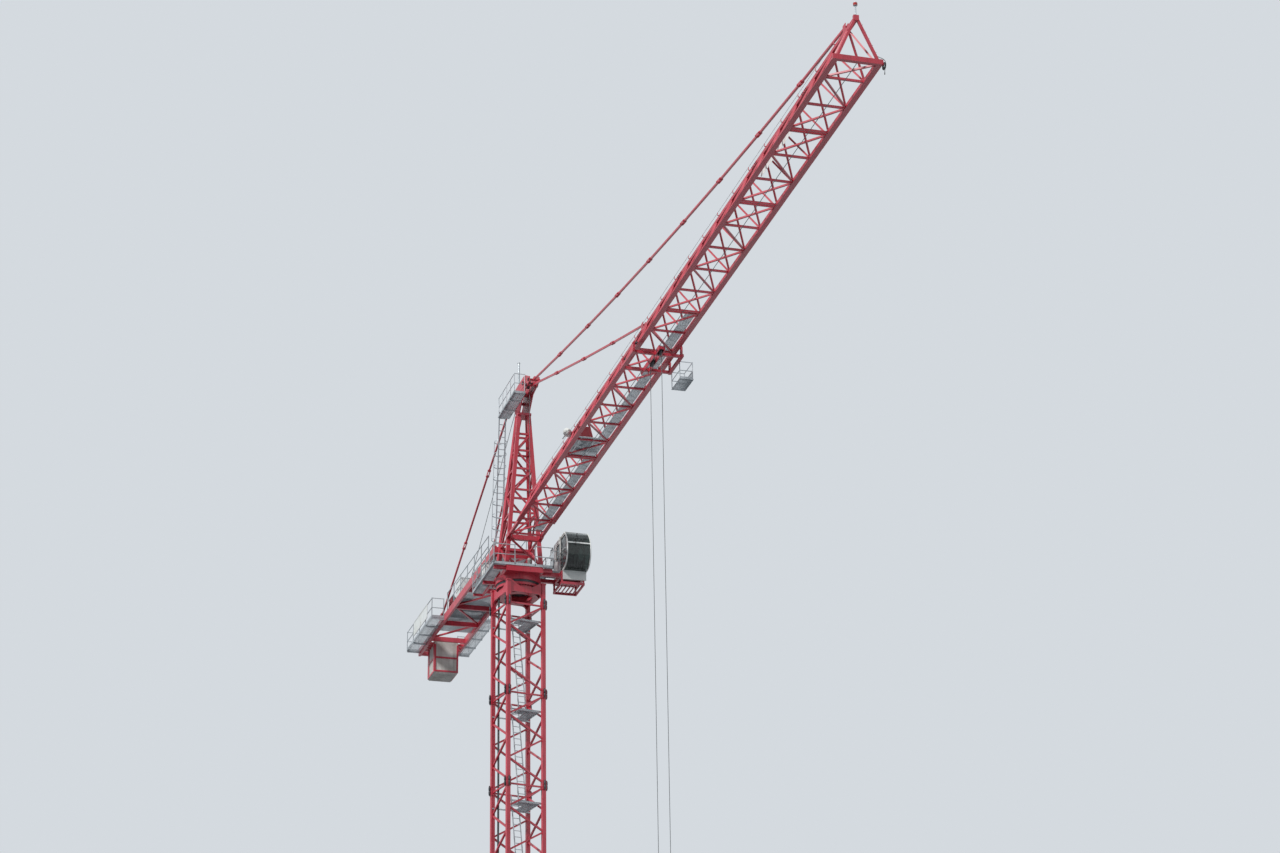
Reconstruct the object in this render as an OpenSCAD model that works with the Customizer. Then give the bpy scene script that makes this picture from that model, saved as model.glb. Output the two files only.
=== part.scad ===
// Hammerhead tower crane with a trolley jib, as a scale model at 1:2.
// All sizes are those of the model. The origin is on the ground, on the mast's axis, and +X runs out along the jib.

/* [Part] */
// Which sub-part to build
// Sides of a round shape
round_fn = 48; // [24:8:96]

/* [Mast] */
// Height of the base frame's beams
base_h = 200; // [150:10:300]
// Distance of a base foot from the mast's axis
base_reach = 1500; // [1000:50:2200]
// Radius of an anchor hole
anchor_r = 14; // [8:1:20]
// Pitch circle of the four anchor holes in a foot
anchor_pcd = 300; // [200:10:400]
// Number of mast sections
mast_sections = 6; // [3:1:9]
// Height of one mast section
section_h = 2250; // [1500:50:3000]
// Width of the mast over its corner posts
mast_w = 1000; // [800:10:1200]
// Width of a corner post
post_w = 90; // [60:2:120]
// Width of a mast diagonal
diagonal_w = 42; // [20:1:60]
// Turn of the mast under the jib, in degrees
mast_turn = 9.7; // [0:0.1:45]

/* [Slewing] */
// Radius of the drum that carries the slewing ring
drum_r = 480; // [300:10:500]
// Radius of the slewing ring
ring_r = 530; // [350:10:550]
// Gap between the fixed and the turning race
ring_gap = 0.5; // [0.2:0.1:5]
// Height of the ring support over the mast
support_h = 525; // [400:5:600]
// Gap between pieces that seat on each other
seat_gap = 0.2; // [0.1:0.1:1]

/* [Tower head] */
// Height of the head's tie pins over the jib's bottom chords
head_h = 3750; // [3000:50:4500]
// Height of the legs' top over the jib's bottom chords
leg_top = 3200; // [2500:50:4000]
// Width of a leg of the tower head
leg_w = 90; // [60:5:140]

/* [Jib] */
// Distance of the jib's root pin from the mast's axis
jib_root = 800; // [600:50:1200]
// Distance of the jib's end from the mast's axis
jib_end = 24500; // [15000:100:30000]
// Distance between the bottom chords
jib_w = 780; // [600:10:1000]
// Height of the top chord over the bottom chords
jib_h = 830; // [600:10:1000]
// Width of a chord
chord_w = 70; // [50:2:100]
// Width of a lacing bar
lacing_w = 34; // [20:1:50]
// Length of one panel of the lacing
panel = 1000; // [500:50:1500]
// Width of the trolley rail outside a chord
rail_w = 42; // [30:1:60]

/* [Ties] */
// Distance of the outer tie's pin from the jib's end
outer_pin = 500; // [300:50:2000]
// Distance of the inner tie's pin from the mast's axis
inner_pin = 11000; // [10900:50:13700]
// Width of a tie bar
tie_w = 40; // [20:1:60]
// Sag of the outer tie at its middle
tie_sag = 265; // [0:5:400]

/* [Counter-jib] */
// Length of the counter-jib
counter_l = 8300; // [5000:100:10000]
// Rise of the counter-jib towards its end, in degrees
counter_rise = 1.6; // [0:0.1:5]
// Distance between the counter-jib's beams
counter_w = 960; // [700:10:1200]
// Height of the counter-jib's beams
counter_h = 200; // [120:10:300]
// Length of the counter-jib's weight and platform end
end_l = 3000; // [2500:50:3200]
// Distance of the rear ties' pins from the counter-jib's root
rear_pin = 5600; // [5400:50:6000]
// Distance of the winch drum's axle from the counter-jib's root
winch_x = 4950; // [4700:50:5000]
// Thickness of a counterweight slab
slab_t = 180; // [120:5:220]
// Width of a counterweight slab
slab_w = 620; // [400:10:700]
// Height of a counterweight slab
slab_h = 905; // [600:5:1100]
// Number of counterweight slabs
slabs = 4; // [2:1:8]

/* [Cab] */
// Length of the cab along the jib
cab_l = 1260; // [1000:10:1400]
// Width of the cab
cab_w = 600; // [450:10:700]
// Height of the cab
cab_h = 920; // [800:10:1000]
// Thickness of the cab's walls
cab_t = 20; // [10:1:40]
// Width of the cab's door
door_w = 400; // [300:10:450]
// Gap round the cab's door
door_gap = 3; // [1:0.5:6]

/* [Trolley and hook] */
// Distance of the trolley's middle from the mast's axis
trolley_x = 11575; // [3000:25:23000]
// Radius of a trolley wheel
wheel_r = 45; // [30:1:60]
// Radius of a rope sheave
sheave_r = 110; // [80:2:140]
// Height of the hook block's sheave axle over the ground
block_z = 1000; // [900:10:14000]
// Radius of the hoist rope
rope_r = 6; // [4:1:12]

/* [Railings] */
// Height of a handrail over its deck
rail_h = 520; // [400:10:600]
// Width of a handrail bar
rail_bar = 20; // [12:1:30]
// Thickness of a grating deck
deck_t = 12; // [6:1:20]

/* [Hidden] */

paint = [0.80, 0.20, 0.08];
dark_paint = [0.45, 0.08, 0.06];
galvanized = [0.62, 0.64, 0.65];
concrete = [0.62, 0.60, 0.56];
white_paint = [0.90, 0.91, 0.90];
dark_steel = [0.16, 0.16, 0.17];

mast_c = (mast_w - post_w) / 2;
mast_top = base_h + mast_sections * section_h;
jib_z = mast_top + 1600;
ring_z = jib_z - 1100;
frame_top = -760;
joint_e = 60;
jib_joints = [jib_root, 5800, 10800, 13800, 18800, 21800, jib_end];
counter_x = -600;
rail_z = -chord_w / 2;
rail_t = 14;
gauge = jib_w / 2 + chord_w / 2;
trolley_l = 850;
cab_x = -150;
cab_y = 930;
cab_z = -780;
door_x = 200;
outer_x = jib_end - outer_pin;
weight_x = -counter_l + 350;
block_x = 302.5;
sheave_x = 297.5;

// One straight square bar between two points.
module bar(p, q, w, sides = 4) {
    d = q - p;
    l = norm(d);
    r = w / 2 / cos(180 / sides);
    translate(p)
        rotate([0, acos(d[2] / l), atan2(d[1], d[0])])
            rotate(180 / sides)
                cylinder(h = l, r = r, $fn = sides);
}

// A chain of bars through a list of points.
module chain(points, w, sides = 4) {
    for (i = [0:len(points) - 2]) bar(points[i], points[i + 1], w, sides);
}

// A box from its low corner to its high corner.
module box(low, high) {
    translate(low) cube(high - low);
}

// A disc or wheel across the Y axis.
module wheel(c, r, w, turn = 0) {
    translate([c[0], c[1] + w / 2, c[2]]) rotate([90, 0, 0])
        rotate(turn) cylinder(h = w, r = r, $fn = round_fn);
}

// The two ends of a rope that leaves two sheaves on the same side, in the XZ plane.
function rope_ends(c1, r1, c2, r2, side) = let (
    d = [c2[0] - c1[0], c2[2] - c1[2]],
    l = norm(d),
    a = atan2(d[1], d[0]) + side * acos((r1 - r2) / l),
    n = [cos(a), 0, sin(a)]
) [c1 + n * (r1 + rope_r), c2 + n * (r2 + rope_r)];

// A clevis of two ears, open across the Y axis.
module ears(x, y, z0, z1, l = 120, g = 22) {
    for (s = [-1, 1]) box([x - l / 2, y + s * (g + 5) - 5, z0], [x + l / 2, y + s * (g + 5) + 5, z1]);
}

// Handrail posts with two rails along the edges of a deck. Each leg of the path has its number of bays.
module railing(path, bays) {
    for (k = [0:len(path) - 2]) {
        p = path[k];
        q = path[k + 1];
        for (i = [(k == 0 ? 0 : 1):bays[k]]) {
            c = p + (q - p) * i / bays[k];
            bar(c, c + [0, 0, rail_h], rail_bar);
        }
        for (h = [rail_h / 2, rail_h - 5]) bar(p + [0, 0, h - rail_bar / 2], q + [0, 0, h - rail_bar / 2], rail_bar - 4);
    }
}

// Places children in the jib's heights.
module at_jib() {
    translate([0, 0, jib_z]) children();
}

// Places children on the rising counter-jib.
module on_counter() {
    translate([counter_x, 0, jib_z]) rotate([0, counter_rise, 0]) children();
}

module base_frame() {
    color(paint) rotate(mast_turn + 45) difference() {
        union() {
            for (a = [0, 90]) rotate(a) {
                box([-base_reach, -100, 0], [base_reach, 100, base_h]);
                for (s = [-1, 1]) translate([s * base_reach, 0, 0])
                    box([-220, -220, 0], [220, 220, 40]);
            }
            for (a = [0:90:270]) rotate(a)
                translate([mast_c * sqrt(2) - 110, -110, base_h - 30]) cube([220, 220, 30]);
        }
        for (a = [0:90:270], b = [45:90:315]) rotate(a)
            translate([base_reach, 0, -1]) rotate(b)
                translate([anchor_pcd / 2, 0, 0]) cylinder(h = 60, r = anchor_r, $fn = round_fn);
    }
}

module mast_section(k) {
    levels = [for (i = [0:4]) joint_e + (section_h - 2 * joint_e) * i / 4];
    color(paint) translate([0, 0, base_h + k * section_h]) rotate(mast_turn)
        for (a = [0:90:270]) rotate(a) {
            translate([mast_c - post_w / 2, mast_c - post_w / 2, 0]) cube([post_w, post_w, section_h]);
            for (z = [0, section_h - 110])
                translate([mast_c - post_w / 2 - 10, mast_c - post_w / 2 - 10, z])
                    cube([post_w + 20, post_w + 20, 110]);
            chain([for (i = [0:4]) [mast_c, i % 2 == 0 ? mast_c : -mast_c, levels[i]]], diagonal_w);
            bar([mast_c - 1, -mast_c, section_h - 44], [mast_c - 1, mast_c, section_h - 44], diagonal_w - 6);
        }
}

module mast_platforms() {
    inner = mast_c - post_w / 2;
    color(galvanized) rotate(mast_turn) for (k = [1:mast_sections])
        translate([0, 0, base_h + k * section_h - 420]) {
            for (s = [-1, 1]) box([s * (inner - 15) - 15, -inner - 80, -30], [s * (inner - 15) + 15, inner + 80, 0]);
            difference() {
                box([-inner + 5, -150, 0], [inner - 5, inner - 5, deck_t]);
                box([-290, -101.2, -1], [0, 101.2, deck_t + 1]);
            }
            for (y = [-145, inner - 30]) box([-inner + 30, y, -30], [inner - 30, y + 25, 0]);
        }
}

module mast_ladder(z0, z1, x0, x1) {
    for (y = [-90, 90]) bar([x0, y, z0], [x1, y, z1], 22);
    n = floor((z1 - z0) / 150);
    for (i = [1:n - 1]) {
        t = i / n;
        bar([x0 + (x1 - x0) * t, -90, z0 + (z1 - z0) * t], [x0 + (x1 - x0) * t, 90, z0 + (z1 - z0) * t], 14);
    }
}

module mast_ladders() {
    color(galvanized) rotate(mast_turn) for (k = [0:mast_sections - 1]) {
        z0 = k == 0 ? base_h : base_h + k * section_h - 420 + deck_t;
        z1 = base_h + (k + 1) * section_h - 420;
        intersection() {
            mast_ladder(z0 - 100, z1 + 350, 250 + 18, -150 - 62);
            box([-400, -200, z0], [400, 200, z1 + 300]);
        }
    }
}

module mast_cable() {
    y = -mast_c + diagonal_w / 2 + 13;
    color(dark_steel) rotate(mast_turn)
        for (x = [-220, -170]) bar([x, y, base_h + 60], [x, y, mast_top + support_h - 280 - seat_gap], 26, 8);
}

// One plate between two posts: full height at the posts, and tapered towards the drum, with rounded brackets below.
module support_plate() {
    c = mast_c - post_w / 2;
    polygon([[-c - 10, -110], [-c - 10, 280], [-c + 40, 280], [-150, 150], [150, 150], [c - 40, 280], [c + 10, 280],
        [c + 10, -110], [c, -110], [c, 0], [-c, 0], [-c, -110]]);
    for (s = [-1, 1]) difference() {
        translate([s * (c - 55), -55]) square(111, center = true);
        translate([s * (c - 110), -110]) circle(r = 110, $fn = round_fn);
    }
}

module ring_support() {
    z = mast_top + support_h - 280;
    color(paint) rotate(mast_turn) difference() {
        union() {
            for (a = [0:90:270]) rotate(a) {
                translate([mast_c - post_w / 2, mast_c - post_w / 2, mast_top + seat_gap])
                    cube([post_w, post_w, support_h - seat_gap]);
                translate([mast_c - post_w / 2 - 12, mast_c - post_w / 2 - 12, mast_top + support_h - 30])
                    cube([post_w + 24, post_w + 24, 30]);
                translate([mast_c - post_w / 2 - 10, mast_c - post_w / 2 - 10, mast_top + seat_gap])
                    cube([post_w + 20, post_w + 20, 90]);
                translate([0, mast_c + 20, z]) rotate([90, 0, 0]) linear_extrude(40) support_plate();
            }
            translate([0, 0, z]) cylinder(h = ring_z - 60 - ring_gap - z, r = drum_r, $fn = round_fn);
            translate([0, 0, ring_z - 60 - ring_gap]) cylinder(h = 60, r = ring_r, $fn = round_fn);
        }
        translate([0, 0, z + 30]) cylinder(h = 700, r = drum_r - 50, $fn = round_fn);
        translate([0, 0, z - 10]) cylinder(h = 200, r = 330, $fn = round_fn);
    }
}

module slewing_ring() {
    color(dark_steel) translate([0, 0, ring_z]) difference() {
        union() {
            cylinder(h = 60 - seat_gap, r = ring_r, $fn = round_fn);
            translate([0, 0, -50]) cylinder(h = 60, r = drum_r - 50 - ring_gap, $fn = round_fn);
        }
        translate([0, 0, -60]) cylinder(h = 130, r = drum_r - 120, $fn = round_fn);
    }
}

module slewing_frame() {
    y = jib_w / 2 + 60;
    color(paint) at_jib() difference() {
        union() {
            translate([0, 0, -1040]) cylinder(h = 150, r = ring_r + 20, $fn = round_fn);
            box([-600, -y, -900], [680, y, frame_top]);
            for (x = [-560, 560]) box([x - 40, -740, -840], [x + 40, 700, frame_top]);
            for (s = [-1, 1]) box([-880, s * 420 - 25, -840], [-600, s * 420 + 25, frame_top]);
            box([-1500, -540, -820], [-560, -500, frame_top]);
            box([-1500, -760, -820], [-1460, -500, frame_top]);
        }
        translate([0, 0, -1050]) cylinder(h = 400, r = drum_r - 150, $fn = round_fn);
    }
}

module slewing_drives() {
    color(dark_steel) at_jib() for (s = [-1, 1]) translate([s * 60, s * 270, frame_top]) {
        cylinder(h = 60, r = 70, $fn = round_fn);
        cylinder(h = 380, r = 55, $fn = round_fn);
        translate([0, 0, 380]) cylinder(h = 60, r = 65, $fn = round_fn);
    }
}

module slewing_deck() {
    z = frame_top;
    color(galvanized) at_jib() difference() {
        union() {
            box([-900, -780, z], [690, 700, z + deck_t]);
            box([-1500, -780, z], [-890, -495, z + deck_t]);
            box([door_x + cab_x - 60, 690, z], [door_x + cab_x + door_w + 60, cab_y - 30, z + deck_t]);
        }
        box([-540, -495, z - 10], [620, 495, z + 50]);
    }
}

module slewing_railing() {
    z = frame_top + deck_t;
    a = door_x + cab_x - 50;
    b = door_x + cab_x + door_w + 50;
    color(galvanized) at_jib() {
        railing([[-1490, -520, z], [-1490, -770, z], [680, -770, z], [680, -250, z]], [1, 5, 1]);
        railing([[680, 250, z], [680, 690, z], [b, 690, z], [b, cab_y - 40, z]], [1, 1, 1]);
        railing([[a, cab_y - 40, z], [a, 690, z], [-890, 690, z], [-890, 250, z]], [1, 3, 1]);
    }
}

function leg(front, side, t) = let (
    a = [front ? 550 : -458, side * 428, frame_top],
    b = [front ? 550 : 400, side * 122, leg_top]
) a + (b - a) * t;

module tower_head() {
    steps = [0.02, 0.192, 0.36, 0.51, 0.65, 0.77, 0.88];
    color(paint) at_jib() {
        intersection() {
            for (f = [false, true], s = [-1, 1]) bar(leg(f, s, -0.05), leg(f, s, 1.05), leg_w);
            box([-900, -900, frame_top], [900, 900, leg_top]);
        }
        for (i = [1:6]) {
            t = steps[i];
            for (f = [false, true]) bar(leg(f, -1, t), leg(f, 1, t), 45);
            for (s = [-1, 1]) bar(leg(false, s, t), leg(true, s, t), 45);
        }
        for (i = [0:5]) {
            e = i % 2 == 0;
            for (s = [-1, 1]) bar(leg(e, s, steps[i]), leg(!e, s, steps[i + 1]), 40);
            for (f = [false, true]) bar(leg(f, e ? 1 : -1, steps[i]), leg(f, e ? -1 : 1, steps[i + 1]), 40);
        }
        box([-420, -counter_w / 2 + 30, -60], [-320, counter_w / 2 - 30, 60]);
        box([500, -jib_w / 2 - 46, -60], [600, jib_w / 2 + 46, 60]);
        for (s = [-1, 1], e = [-1, 1]) box([590, s * jib_w / 2 + e * 38 - 8, -50], [jib_root - 5, s * jib_w / 2 + e * 38 + 8, 50]);
    }
}

module head_block() {
    color(dark_paint) at_jib() {
        box([300, -168, leg_top], [640, 168, leg_top + 60]);
        for (s = [-1, 1]) rotate([90, 0, 0]) translate([0, 0, s * 120 - 12]) linear_extrude(24)
            polygon([[330, leg_top + 50], [610, leg_top + 50], [1000, head_h - 150], [1600, head_h - 70], [1600, head_h + 60],
                [1150, head_h + 280], [60, head_h + 280], [0, head_h], [60, head_h - 200]]);
        for (x = [100, 620]) box([x - 30, -110, head_h - 60], [x + 30, 110, head_h]);
        box([60, -110, head_h + 240], [140, 110, head_h + 280]);
        box([85, -25, head_h + 280], [115, 5, head_h + 1050]);
    }
}

module head_sheaves() {
    color(dark_steel) at_jib() for (x = [330, 1000]) {
        wheel([x, 0, head_h + 130], sheave_r + 20, 50);
        wheel([x, 0, head_h + 130], 25, 215.6);
    }
}

module head_deck() {
    z = head_h - 250;
    color(galvanized) at_jib() {
        box([-355, -426, z - deck_t], [1256, -135, z]);
        for (x = [200, 800]) box([x, -420, z - deck_t - 40], [x + 40, -132.2, z - deck_t + 1]);
        railing([[-340, -410, z], [1240, -410, z], [1240, -150, z]], [4, 1]);
    }
}

module head_ladder() {
    p = [-840, -310, frame_top + deck_t - 60];
    q = [-362, -310, head_h - 100];
    hoops = [for (i = [0:8]) 0.28 + 0.56 * i / 8];
    color(galvanized) at_jib() intersection() {
        union() {
            for (y = [-80, 80]) bar(p + [0, y, 0], q + [0, y, 0], 24);
            for (i = [1:27]) {
                c = p + (q - p) * i / 28;
                bar(c - [0, 80, 0], c + [0, 80, 0], 14);
            }
            for (t = hoops) translate(p + (q - p) * t) translate([-130, 0, 0]) rotate(25)
                rotate_extrude(angle = 310, $fn = round_fn) translate([148, -10]) square([7, 20]);
            for (a = [110, 180, 250]) {
                r = [-130 + 151 * cos(a), 151 * sin(a), 0];
                bar(p + (q - p) * hoops[0] + r - [0, 0, 10], p + (q - p) * hoops[8] + r + [0, 0, 10], 10);
            }
        }
        box([-1000, -480, frame_top + deck_t], [0, 0, head_h]);
    }
}

function stations(a, b) = concat([a + 40],
    [for (x = [ceil((a + 200 - 800) / panel) * panel + 800:panel:b - 200]) x], [b - (b == jib_end ? 55 : 40)]);

module jib_section(i) {
    a = jib_joints[i];
    b = jib_joints[i + 1];
    st = stations(a, b);
    h = jib_w / 2;
    n = len(st);
    color(paint) at_jib() {
        for (s = [-1, 1]) {
            box([a, s * h - chord_w / 2, -chord_w / 2], [b, s * h + chord_w / 2, chord_w / 2]);
            box([i == 0 ? 1700 : a, s * (gauge + rail_w / 2) - rail_w / 2 - 1, rail_z],
                [b, s * (gauge + rail_w / 2) + rail_w / 2 + 1, rail_z + rail_t]);
            for (k = [0:n - 2]) {
                apex = [(st[k] + st[k + 1]) / 2, 0, jib_h];
                bar([st[k], s * h, 0], apex, lacing_w);
                bar(apex, [st[k + 1], s * h, 0], lacing_w);
            }
        }
        box([i == 0 ? (st[0] + st[1]) / 2 - 60 : a, -chord_w / 2, jib_h - chord_w / 2],
            [b, chord_w / 2, jib_h + chord_w / 2]);
        for (x = st) bar([x, -h, 0], [x, h, 0], 40);
        for (k = [0:n - 2]) {
            s = k % 2 == 0 ? 1 : -1;
            bar([st[k], -s * h, 0], [st[k + 1], s * h, 0], lacing_w);
        }
        if (i == 0) for (s = [-1, 1]) box([a - 60, s * h - 30, -50], [a + 60, s * h + 30, 50]);
        if (i == 2) ears(inner_pin, 0, jib_h, jib_h + 170, 140);
    }
}

module jib_tip() {
    h = jib_w / 2;
    top = jib_h + chord_w / 2;
    color(paint) at_jib() {
        box([jib_end, -h - 80, -50], [jib_end + 60, h + 80, 50]);
        for (s = [-1, 1]) bar([jib_end + 30, s * h, 0], [jib_end + 30, 0, jib_h + 40], 45);
        box([jib_end, -50, jib_h - 50], [jib_end + 60, 50, jib_h + 60]);
        box([outer_x - 80, -32, top], [outer_x + 80, 32, top + 20]);
        ears(outer_x, 0, top + 10, jib_h + 170, 140);
    }
}

module jib_walkway() {
    color(galvanized) at_jib()
        box([jib_root + 320, 110, 20], [13800, 330, 20 + deck_t]);
}

module trolley_winch() {
    z = 20 + deck_t;
    color(galvanized) at_jib() {
        box([5860, -330, 20], [6900, 100, z]);
    }
    color(dark_steel) at_jib() {
        wheel([6250, -120, 150], 80, 300);
        wheel([6250, -120, 150], 20, 341);
        for (y = [-275, 35]) wheel([6250, y, 150], 105, 12);
        for (y = [-300, 50]) box([6180, y, z - 5], [6320, y + 10, 190]);
        box([6400, -250, z - 5], [6700, -60, 200]);
    }
}

module winch_shield() {
    color(dark_paint) at_jib() box([6760, -320, 20 + deck_t], [6772, -20, 330]);
}

module jib_sheet() {
    color(white_paint) at_jib() {
        box([19080, -7, 430], [20900, 7, 738]);
        for (x = [19100, 19650, 19950, 20650]) box([x - 12, -6, 730], [x + 12, 6, jib_h - chord_w / 2 - 0.2]);
    }
}

module tip_light() {
    color(dark_steel) at_jib() translate([jib_end + 30, 0, jib_h + 60]) {
        cylinder(h = 200, r = 12, $fn = round_fn);
        translate([0, 0, 200]) cylinder(h = 60, r = 35, $fn = round_fn);
    }
}

module tip_cable() {
    color(dark_steel) at_jib() translate([jib_end + 30, jib_w / 2 + 80 + 20.2, -60]) rotate([90, 0, 0])
        rotate_extrude($fn = round_fn) translate([60, 0]) circle(r = 20, $fn = 16);
}

function tie_point(a, b, sag, t) = a + (b - a) * t - [0, 0, 4 * sag * t * (1 - t)];

// A joint between two tie bars: an eye on each bar, two link plates and two pins.
module link() {
    for (x = [-95, 95]) {
        wheel([x, 0, 0], 36, tie_w);
        wheel([x, 0, 0], 15, tie_w + 44);
    }
    for (s = [-1, 1]) translate([0, s * (tie_w / 2 + 4.5) + 5, 0]) rotate([90, 0, 0]) linear_extrude(10) {
        square([190, 60], center = true);
        for (x = [-95, 95]) translate([x, 0]) circle(r = 30, $fn = round_fn);
    }
}

module tie(a, b, sag, spans, pin_a, pin_b) {
    points = [for (i = [0:spans]) tie_point(a, b, sag, i / spans)];
    turn = atan2(b[1] - a[1], b[0] - a[0]);
    for (i = [0:spans - 1]) {
        d = (points[i + 1] - points[i]) / norm(points[i + 1] - points[i]);
        bar(points[i] + d * (i == 0 ? 0 : 95), points[i + 1] - d * (i == spans - 1 ? 0 : 95), tie_w);
    }
    for (i = [1:spans - 1]) translate(points[i])
        rotate([0, 0, turn]) rotate([0, atan2(a[2] - b[2], norm([b[0] - a[0], b[1] - a[1]])), 0]) link();
    wheel(a, 28, pin_a, b[0] > a[0] ? 180 : 0);
    wheel(b, 28, pin_b, b[0] > a[0] ? 0 : 180);
}

module outer_tie() {
    color(paint) at_jib() tie([1540, 0, head_h], [outer_x, 0, jib_h + 120], tie_sag, 9, 215.6, 43.6);
}

module inner_tie() {
    color(paint) at_jib() tie([1340, 0, head_h - 60], [inner_pin, 0, jib_h + 120], 40, 4, 215.6, 43.6);
}

module rear_ties() {
    l = rear_pin;
    h = counter_h / 2 + 80;
    end = [counter_x - l * cos(counter_rise) + h * sin(counter_rise), 0, l * sin(counter_rise) + h * cos(counter_rise)];
    color(paint) at_jib() for (s = [-1, 1])
        tie([60, s * 158, head_h + 100], end + [0, s * counter_w / 2, 0], 0, 3, 51, 53.6);
}

module rope_runs() {
    root = [1050, 0, -45 + 60 + rope_r];
    winch = [counter_x - winch_x * cos(counter_rise) + 320 * sin(counter_rise), 0,
        winch_x * sin(counter_rise) + 320 * cos(counter_rise)];
    front = rope_ends(root, 60, [1000, 0, head_h + 130], sheave_r + 20, -1);
    rear = rope_ends([330, 0, head_h + 130], sheave_r + 20, winch, 160, -1);
    color(dark_steel) at_jib() {
        bar([1050, 0, -45], [jib_end - 0.3, 0, -45], 2 * rope_r, 8);
        wheel(root, 60, 30);
        wheel(root + [0, 170, 0], 12, 369.6);
        bar(front[0], front[1], 2 * rope_r, 8);
        bar(rear[0], rear[1], 2 * rope_r, 8);
    }
}

module counter_frame() {
    h = counter_h / 2;
    y = counter_w / 2;
    n = ceil(counter_l / 1400);
    bay = counter_l / n;
    color(paint) on_counter() {
        for (s = [-1, 1]) box([-counter_l, s * y - 30, -h], [260, s * y + 30, h]);
        for (i = [0:n]) box([-bay * i - (i == n ? 0 : 60), -y, -h + 20], [-bay * i + (i == n ? 60 : 0), y, h - 60]);
        for (i = [0:n - 2]) bar([-bay * i - 30, i % 2 == 0 ? y : -y, 0], [-bay * (i + 1) - 30, i % 2 == 0 ? -y : y, 0], 40);
        for (s = [-1, 1]) ears(-rear_pin, s * y, h, h + 130, 160, 27);
        for (i = [0:slabs - 1], s = [-1, 1]) {
            low = min(s * (slab_w / 2 + seat_gap), s * (y - 25));
            box([weight_x + (slab_t + 15) * i + 50, low, -80], [weight_x + (slab_t + 15) * i + 130, low + y - 25 - slab_w / 2 - seat_gap, -20]);
        }
    }
}

module counter_deck() {
    h = counter_h / 2;
    y = counter_w / 2;
    color(galvanized) on_counter() {
        box([weight_x + slabs * (slab_t + 15) + 760, -y + 30, h - 60], [-300, y - 30, h - 60 + deck_t]);
        for (s = [-1, 1]) {
            low = min(s * (y + 30), s * (y + 370));
            box([-counter_l + 100, low, -deck_t], [-counter_l + 100 + end_l, low + 340, 0]);
        }
    }
}

module counter_railing() {
    y = counter_w / 2;
    a = -counter_l + 110;
    b = -counter_l + 90 + end_l;
    color(galvanized) on_counter() for (s = [-1, 1]) {
        railing([[a, s * (y + 50), 0], [a, s * (y + 360), 0], [b, s * (y + 360), 0], [b, s * (y + 50), 0]], [1, 4, 1]);
        railing([[max(b + 210, -5000), s * y, counter_h / 2], [-500, s * y, counter_h / 2]], [6]);
    }
}

module sign_panel() {
    y = -counter_w / 2 - 370.2;
    color(white_paint) on_counter() box([-counter_l + 1000, y - 8, 120], [-counter_l + 2600, y, 500]);
}

module hoist_winch() {
    z = counter_h / 2 - 60 + deck_t;
    color(dark_paint) on_counter() translate([-winch_x, 0, 0]) {
        for (y = [-410, 380]) translate([0, y + 30, z]) rotate([90, 0, 0]) linear_extrude(30)
            polygon([[-260, 0], [700, 0], [700, 60], [260, 150], [150, 400], [-150, 400], [-260, 150]]);
        for (x = [-250, 330, 650]) box([x, -381, z], [x + 40, 381, z + 40]);
        box([330, -200, z + 39], [690, 200, z + 60]);
    }
    color(dark_steel) on_counter() translate([-winch_x, 0, 0]) {
        wheel([0, 0, 320], 160, 762);
        for (s = [-1, 1]) wheel([0, s * 340, 320], 210, 16);
        wheel([475, 0, z + 170], 115, 420);
        wheel([475, 230, z + 170], 100, 60);
    }
}

module control_cabinet() {
    z = counter_h / 2 - 60 + deck_t;
    color(white_paint) on_counter() translate([-winch_x + 760, 0, 0]) {
        box([0, -440, z + 40], [560, -120, z + 520]);
        box([-10, -450, z + 519], [570, -110, z + 535]);
        for (x = [20, 500]) box([x, -420, z], [x + 40, -140, z + 41]);
    }
}

module counterweights() {
    w = slab_w / 2;
    low = 40 - slab_h;
    color(concrete) on_counter() for (i = [0:slabs - 1]) translate([weight_x + (slab_t + 15) * i, 0, 0])
        rotate([90, 0, 90]) linear_extrude(slab_t)
            polygon([[-w, low + 25], [-w + 25, low], [w - 25, low], [w, low + 25], [w, 40], [-w, 40]]);
}

module weight_frame() {
    w = slab_w / 2 + seat_gap;
    a = weight_x - seat_gap;
    b = weight_x + slabs * (slab_t + 15) - 15 + seat_gap;
    t = 14;
    low = 40 - slab_h;
    color(paint) on_counter() {
        for (z = [low + 30, low + 400]) difference() {
            box([a - t, -w - t, z], [b + t, w + t, z + 45]);
            box([a, -w, z - 1], [b, w, z + 46]);
        }
        for (x = [a - t, b - 31], s = [-1, 1])
            box([x, min(s * w, s * (w + t)), low + 30], [x + 45, max(s * w, s * (w + t)), -80 - seat_gap]);
        for (x = [a - t, b], s = [-1, 1])
            box([x, min(s * (w - 31), s * (w + t)), low + 30], [x + t, max(s * (w - 31), s * (w + t)), -80 - seat_gap]);
        for (i = [0, slabs - 1], s = [-1, 1]) {
            x = weight_x + (slab_t + 15) * i + 50;
            box([x, min(s * w, s * (w + t)), low + 30], [x + 80, max(s * w, s * (w + t)), -80 - seat_gap]);
        }
    }
}

// The cab's outline seen from its side, with a bowed front.
module cab_profile(inset = 0) {
    offset(delta = -inset)
        scale([cab_l / 1260, cab_h / 920]) polygon([[0, 0], [830, 0], [940, 8], [1030, 28], [1110, 66], [1175, 122],
            [1220, 195], [1248, 285], [1260, 390], [1256, 500], [1228, 615], [1170, 725], [1080, 830], [970, 920], [0, 920]]);
}

// A slice of the cab between two distances from its near side.
module cab_slice(y0, y1) {
    translate([cab_x, cab_y + y1, cab_z]) rotate([90, 0, 0]) linear_extrude(y1 - y0) children();
}

// The outline of the side window, which follows the bowed front.
module side_window() {
    intersection() {
        cab_profile(28);
        translate([door_x + door_w + 55, 30]) square([1000, cab_h - 100]);
    }
}

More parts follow.
